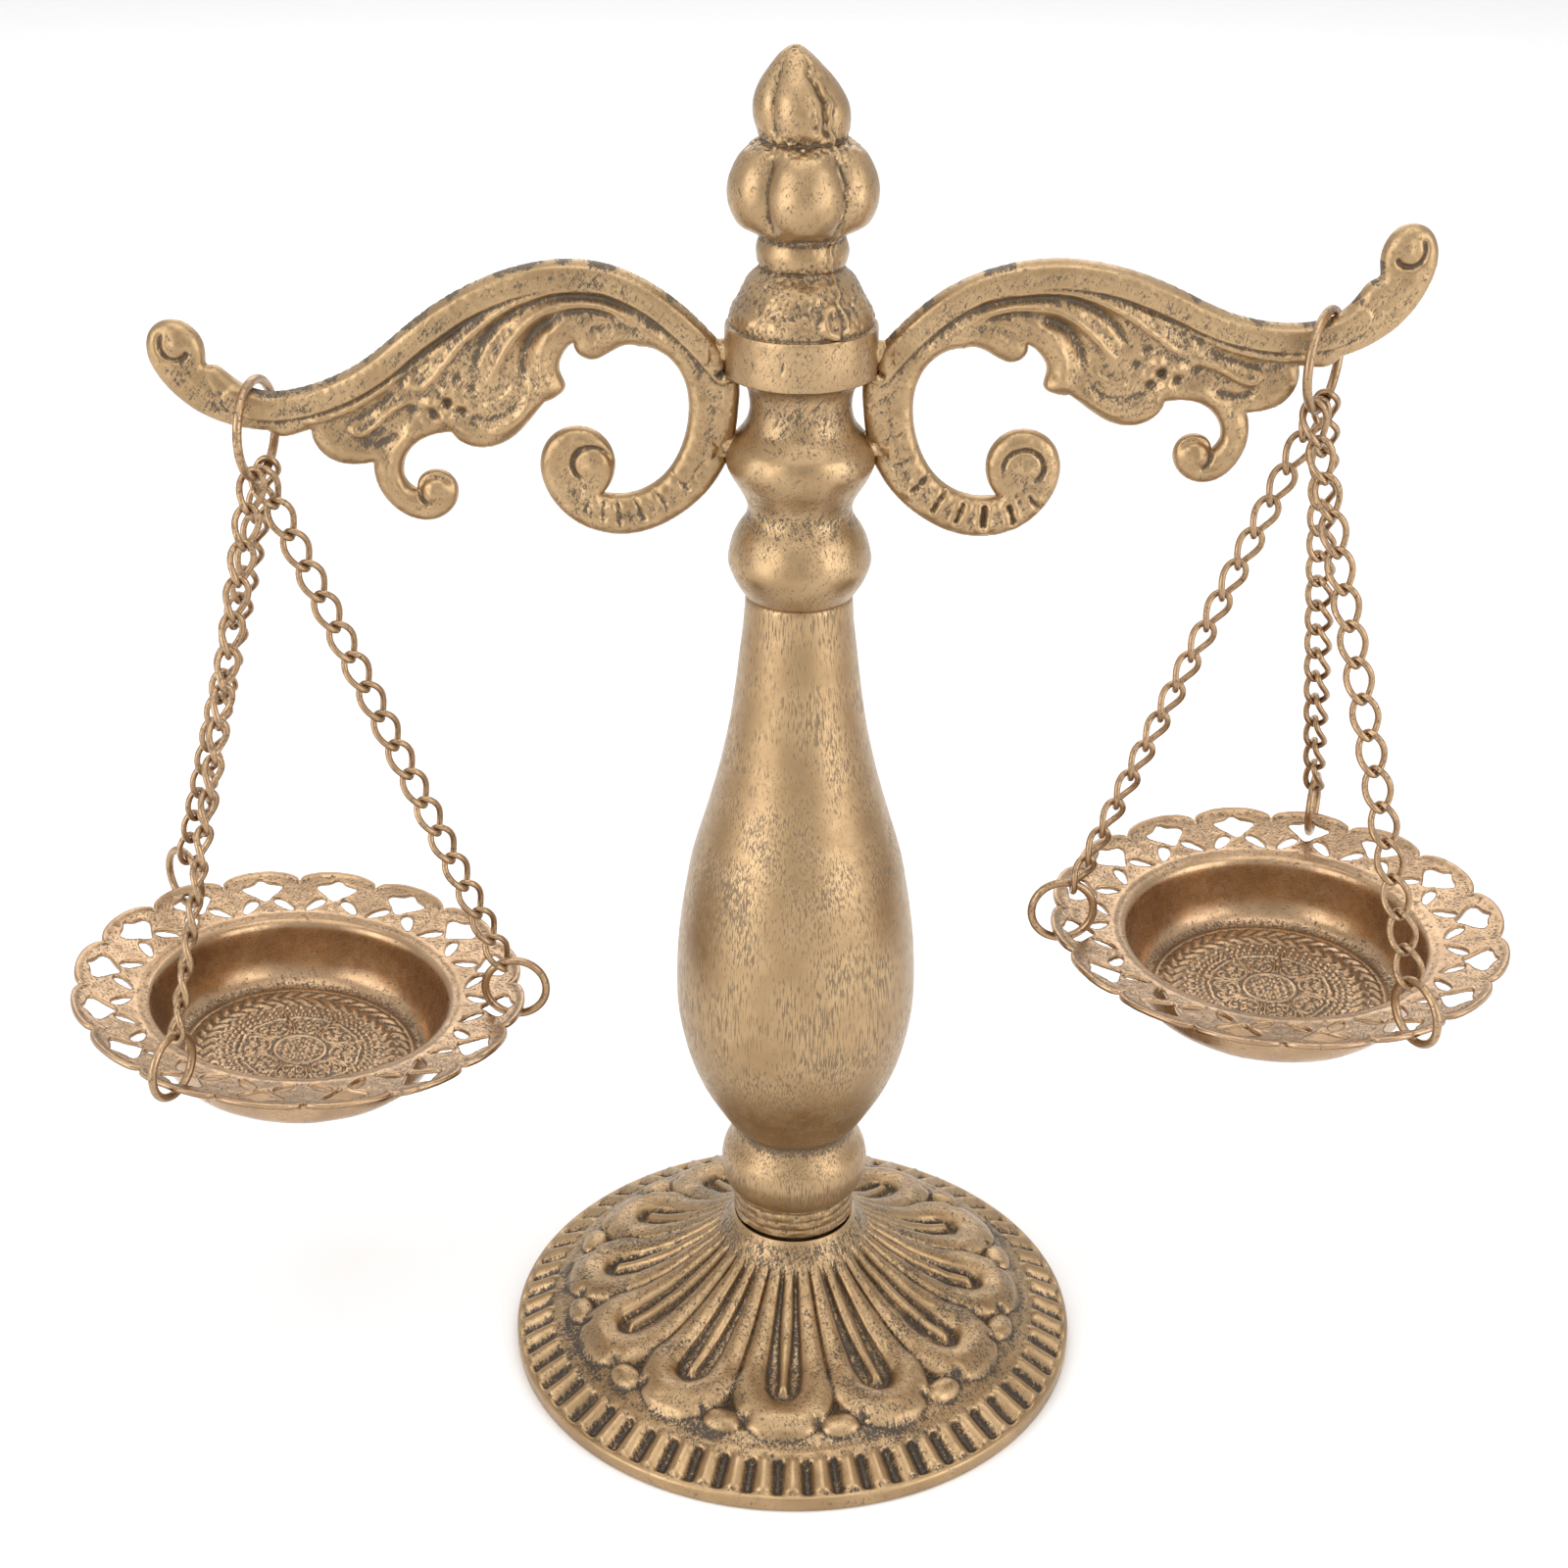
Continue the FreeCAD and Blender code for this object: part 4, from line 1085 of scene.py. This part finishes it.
def pan_grid(columns):
    """Angle, radius and height of a grid from the scalloped edge in to the middle of the floor."""
    angles = TAU * np.arange(columns) / columns
    wall = spline_through(PAN_SECTION, 0.5)
    floor_rows = np.arange(FLOOR_RADIUS, 0.2, -0.3)
    floor = np.stack([floor_rows, np.full(len(floor_rows), FLOOR_HEIGHT)], 1)
    inner = np.vstack([wall[1:], floor])
    across = np.linspace(1, 0, 42)
    r_rim = LIP_RADIUS + (rim_edge(angles)[None] - LIP_RADIUS) * across[:, None]
    _, r_in, z_in = turned_grid(inner, columns)
    r = np.vstack([r_rim, r_in])
    z = np.vstack([rim_height(r_rim), z_in])
    return np.tile(angles, (len(r), 1)), r, z


def rim_height(r):
    """Height of the sloping rim below the pan's edge."""
    return -(PAN_RADIUS - r) * math.tan(math.radians(RIM_SLOPE))


def pierce(a, r, faces):
    """Leave out the faces in the rim's holes, and draw the holes' borders onto their outlines."""
    columns = a.shape[1]
    loops = hole_loops()
    centre_r = r.ravel()[faces].mean(1)
    face_angle = a.ravel()[faces[:, 0]] + TAU / columns / 2
    # inside_loop works row by row, so a row's faces need exactly equal radii.
    spot = np.stack([np.radians(local_lobe(face_angle)) * centre_r, np.round(centre_r, 4)], 1)
    in_hole = np.zeros(len(faces), bool)
    rim_faces = np.where(centre_r > LIP_RADIUS + 0.3)[0]
    for loop in loops:
        in_hole[rim_faces] |= inside_loop(spot[rim_faces], loop)
    kept = faces[~in_hole]
    border = np.intersect1d(np.unique(faces[in_hole]), np.unique(kept))
    flat_a, flat_r = a.ravel().copy(), r.ravel().copy()
    along = np.radians(local_lobe(flat_a)) * flat_r
    samples = np.vstack([walk(np.vstack([loop, loop[:1]]), 0.05) for loop in loops])
    _, which = nearest(np.stack([along[border], flat_r[border]], 1), samples)
    target = samples[which]
    middle_angle = flat_a[border] - np.radians(local_lobe(flat_a[border]))
    flat_a[border] = middle_angle + target[:, 0] / target[:, 1]
    flat_r[border] = target[:, 1]
    return flat_a.reshape(a.shape), flat_r.reshape(r.shape), kept


def pan_surface(a, r, z):
    """Places and upward normals of the pan's middle surface, with its cupped lobes and its relief."""
    cup = 0.35 * smooth(r, 36.0, PAN_RADIUS) * (1 - (np.abs(local_lobe(a)) / (180.0 / LOBES)) ** 2)
    flat = np.stack([r * np.cos(a), r * np.sin(a), z + cup], -1)
    height = rim_relief(r, np.radians(local_lobe(a)) * r, a, flat) * (r > 28.0)
    height += floor_relief(r, a)
    height += 0.05 * rough(flat, 5.0, 95, 2) * (r < 28)
    slope = np.gradient(np.stack([r[:, 0], z[:, 0]], 1), axis=0)
    slope /= np.maximum(np.linalg.norm(slope, axis=1, keepdims=True), 1e-9)
    nr, nz = slope[:, 1], -slope[:, 0]
    nr, nz = nr[:, None], nz[:, None]
    normal = np.stack([nr * np.cos(a), nr * np.sin(a), nz + 0 * a], -1).reshape(-1, 3)
    normal *= np.sign(normal[:, 2].mean())
    return flat.reshape(-1, 3) + normal * height.reshape(-1, 1), normal


def close_middle(places, sheet, ring, count):
    """Take away the wall that shell() put round the middle of the floor, and fan both sides to it instead."""
    on_wall = np.isin(sheet, np.concatenate([ring, ring + count])).all(1)
    sheet = sheet[~on_wall]
    following = np.roll(ring, -1)
    above, below = len(places), len(places) + 1
    middles = [[0, 0, places[ring][:, 2].mean()], [0, 0, places[ring + count][:, 2].mean()]]
    top = np.stack([ring, following, np.full(len(ring), above)], 1)
    bottom = np.stack([following + count, ring + count, np.full(len(ring), below)], 1)
    return np.vstack([places, middles]), sheet.tolist() + top.tolist() + bottom.tolist()


def pan_shade(r):
    """A darker band just inside the lip, a darker lower wall and floor, and a painted highlight that
    brightens the wall.
    """
    wall = smooth(r, 23.0, 24.0) * ease_off(r, 27.3, 27.7)
    # The wall term is a painted highlight standing in for the wall's reflections.
    shade = (-0.45 * bell(r - 28.3, 0.55) - 0.02 * smooth(r, 22.0, 23.5) * ease_off(r, 25.6, 26.6)
             - 0.10 * ease_off(r, 20.0, 21.6) + 0.35 * wall)
    return np.concatenate([shade, shade * 0.3, [0, 0]])


def build_pan(materials, side):
    columns = LOBES * 36
    a, r, z = pan_grid(columns)
    last_row = (len(r) - 1) * columns
    a, r, kept = pierce(a, r, lay_grid(len(r), columns, False, True))
    z = np.where(r > LIP_RADIUS, rim_height(r), z)
    flat, normal = pan_surface(a, r, z)
    used, kept = np.unique(kept, return_inverse=True)
    kept = kept.reshape(-1, 4)
    flat, normal = flat[used], normal[used]
    if np.cross(flat[kept[0, 1]] - flat[kept[0, 0]], flat[kept[0, 2]] - flat[kept[0, 0]])[2] < 0:
        kept = kept[:, ::-1]
    places, sheet = shell(flat, normal, kept, PAN_SHEET / 2)
    ring = np.searchsorted(used, last_row + np.arange(columns))
    places, faces = close_middle(places, sheet, ring, len(flat))

    centre, axes = pan_frame(side)
    phase = math.radians(PAN_PHASE[side])
    x, y, z = places.T
    x, y = x * math.cos(phase) - y * math.sin(phase), x * math.sin(phase) + y * math.cos(phase)
    placed = np.stack([x, y, z], 1) @ axes.T + centre
    return make("pan_%s_plate" % side, "pan_assembly_" + side, materials["pan"], placed, faces,
                ["pan_" + side], pan_shade(r.ravel()[used]), ((3, 0.03), (14, 0.30)))


# ---------------------------------------------------------------- setting

def build_wires(materials):
    """The CAD rings, chains and steel fixings keep their shape and take a finish."""
    for name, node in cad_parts.items():
        if name.startswith(("hanger_ring", "pan_ring", "chain")):
            finish = materials["wire"]
        elif name in ("base_washer", "base_nut", "head_stud"):
            finish = materials["steel"]
        else:
            continue
        node.data.materials.clear()
        node.data.materials.append(finish)


def build_stage():
    mesh = bpy.data.meshes.new("floor")
    size = 6.0
    corners = [(-size, -size, 0), (size, -size, 0), (size, size, 0), (-size, size, 0)]
    mesh.from_pydata(corners, [], [(0, 1, 2, 3)])
    mesh.materials.append(paper("floor_paper"))
    floor = bpy.data.objects.new("floor", mesh)
    bpy.context.scene.collection.objects.link(floor)


def lamp(name, azimuth, elevation, distance, width, height, power):
    """Soft box aimed at the middle of the object. Azimuth 0 is in front of it, 90 on its right."""
    data = bpy.data.lights.new(name, "AREA")
    data.shape = "RECTANGLE"
    data.size = width
    data.size_y = height
    data.energy = power
    light = bpy.data.objects.new(name, data)
    a, e = math.radians(azimuth), math.radians(elevation)
    away = Vector((math.sin(a) * math.cos(e), -math.cos(a) * math.cos(e), math.sin(e)))
    light.location = Vector(LAMP_AIM) + away * distance
    light.rotation_mode = "QUATERNION"
    light.rotation_quaternion = away.to_track_quat("Z", "Y")
    bpy.context.scene.collection.objects.link(light)


def build_lights():
    for settings in LAMPS:
        lamp(*settings)
    world = bpy.data.worlds.new("studio")
    world.use_nodes = True
    nodes, links = world.node_tree.nodes, world.node_tree.links
    coordinate = nodes.new("ShaderNodeTexCoord")
    split = nodes.new("ShaderNodeSeparateXYZ")
    shade = nodes.new("ShaderNodeMapRange")
    links.new(coordinate.outputs["Generated"], split.inputs[0])
    links.new(split.outputs[2], shade.inputs[0])
    shade.inputs[1].default_value, shade.inputs[2].default_value = -0.1, 0.9
    shade.inputs[3].default_value, shade.inputs[4].default_value = 0.70, 1.0
    links.new(shade.outputs[0], nodes["Background"].inputs["Strength"])
    nodes["Background"].inputs["Color"].default_value = (1, 1, 1, 1)
    bpy.context.scene.world = world
    bpy.context.scene.view_settings.view_transform = "Standard"


def build_camera():
    data = bpy.data.cameras.new("camera")
    data.lens = CAMERA_LENS
    data.sensor_width = 36.0
    data.clip_start, data.clip_end = 0.01, 50.0
    camera = bpy.data.objects.new("camera", data)
    fall, roll = math.radians(CAMERA_FALL), math.radians(CAMERA_ROLL)
    forward = Vector((0, math.cos(fall), -math.sin(fall)))
    right = Vector((1, 0, 0))
    up = right.cross(forward)
    right, up = right * math.cos(roll) + up * math.sin(roll), up * math.cos(roll) - right * math.sin(roll)
    turn = Matrix((right, up, -forward)).transposed().to_4x4()
    camera.matrix_world = Matrix.Translation(CAMERA_PLACE) @ turn
    bpy.context.scene.collection.objects.link(camera)
    bpy.context.scene.camera = camera


def main():
    build_camera()
    build_stage()
    build_lights()
    materials = make_materials()
    build_base(materials)
    build_column(materials)
    build_head(materials)
    for side in ("left", "right"):
        build_arm(materials, side)
        build_lugs(materials, side)
        build_pan(materials, side)
    build_wires(materials)


main()
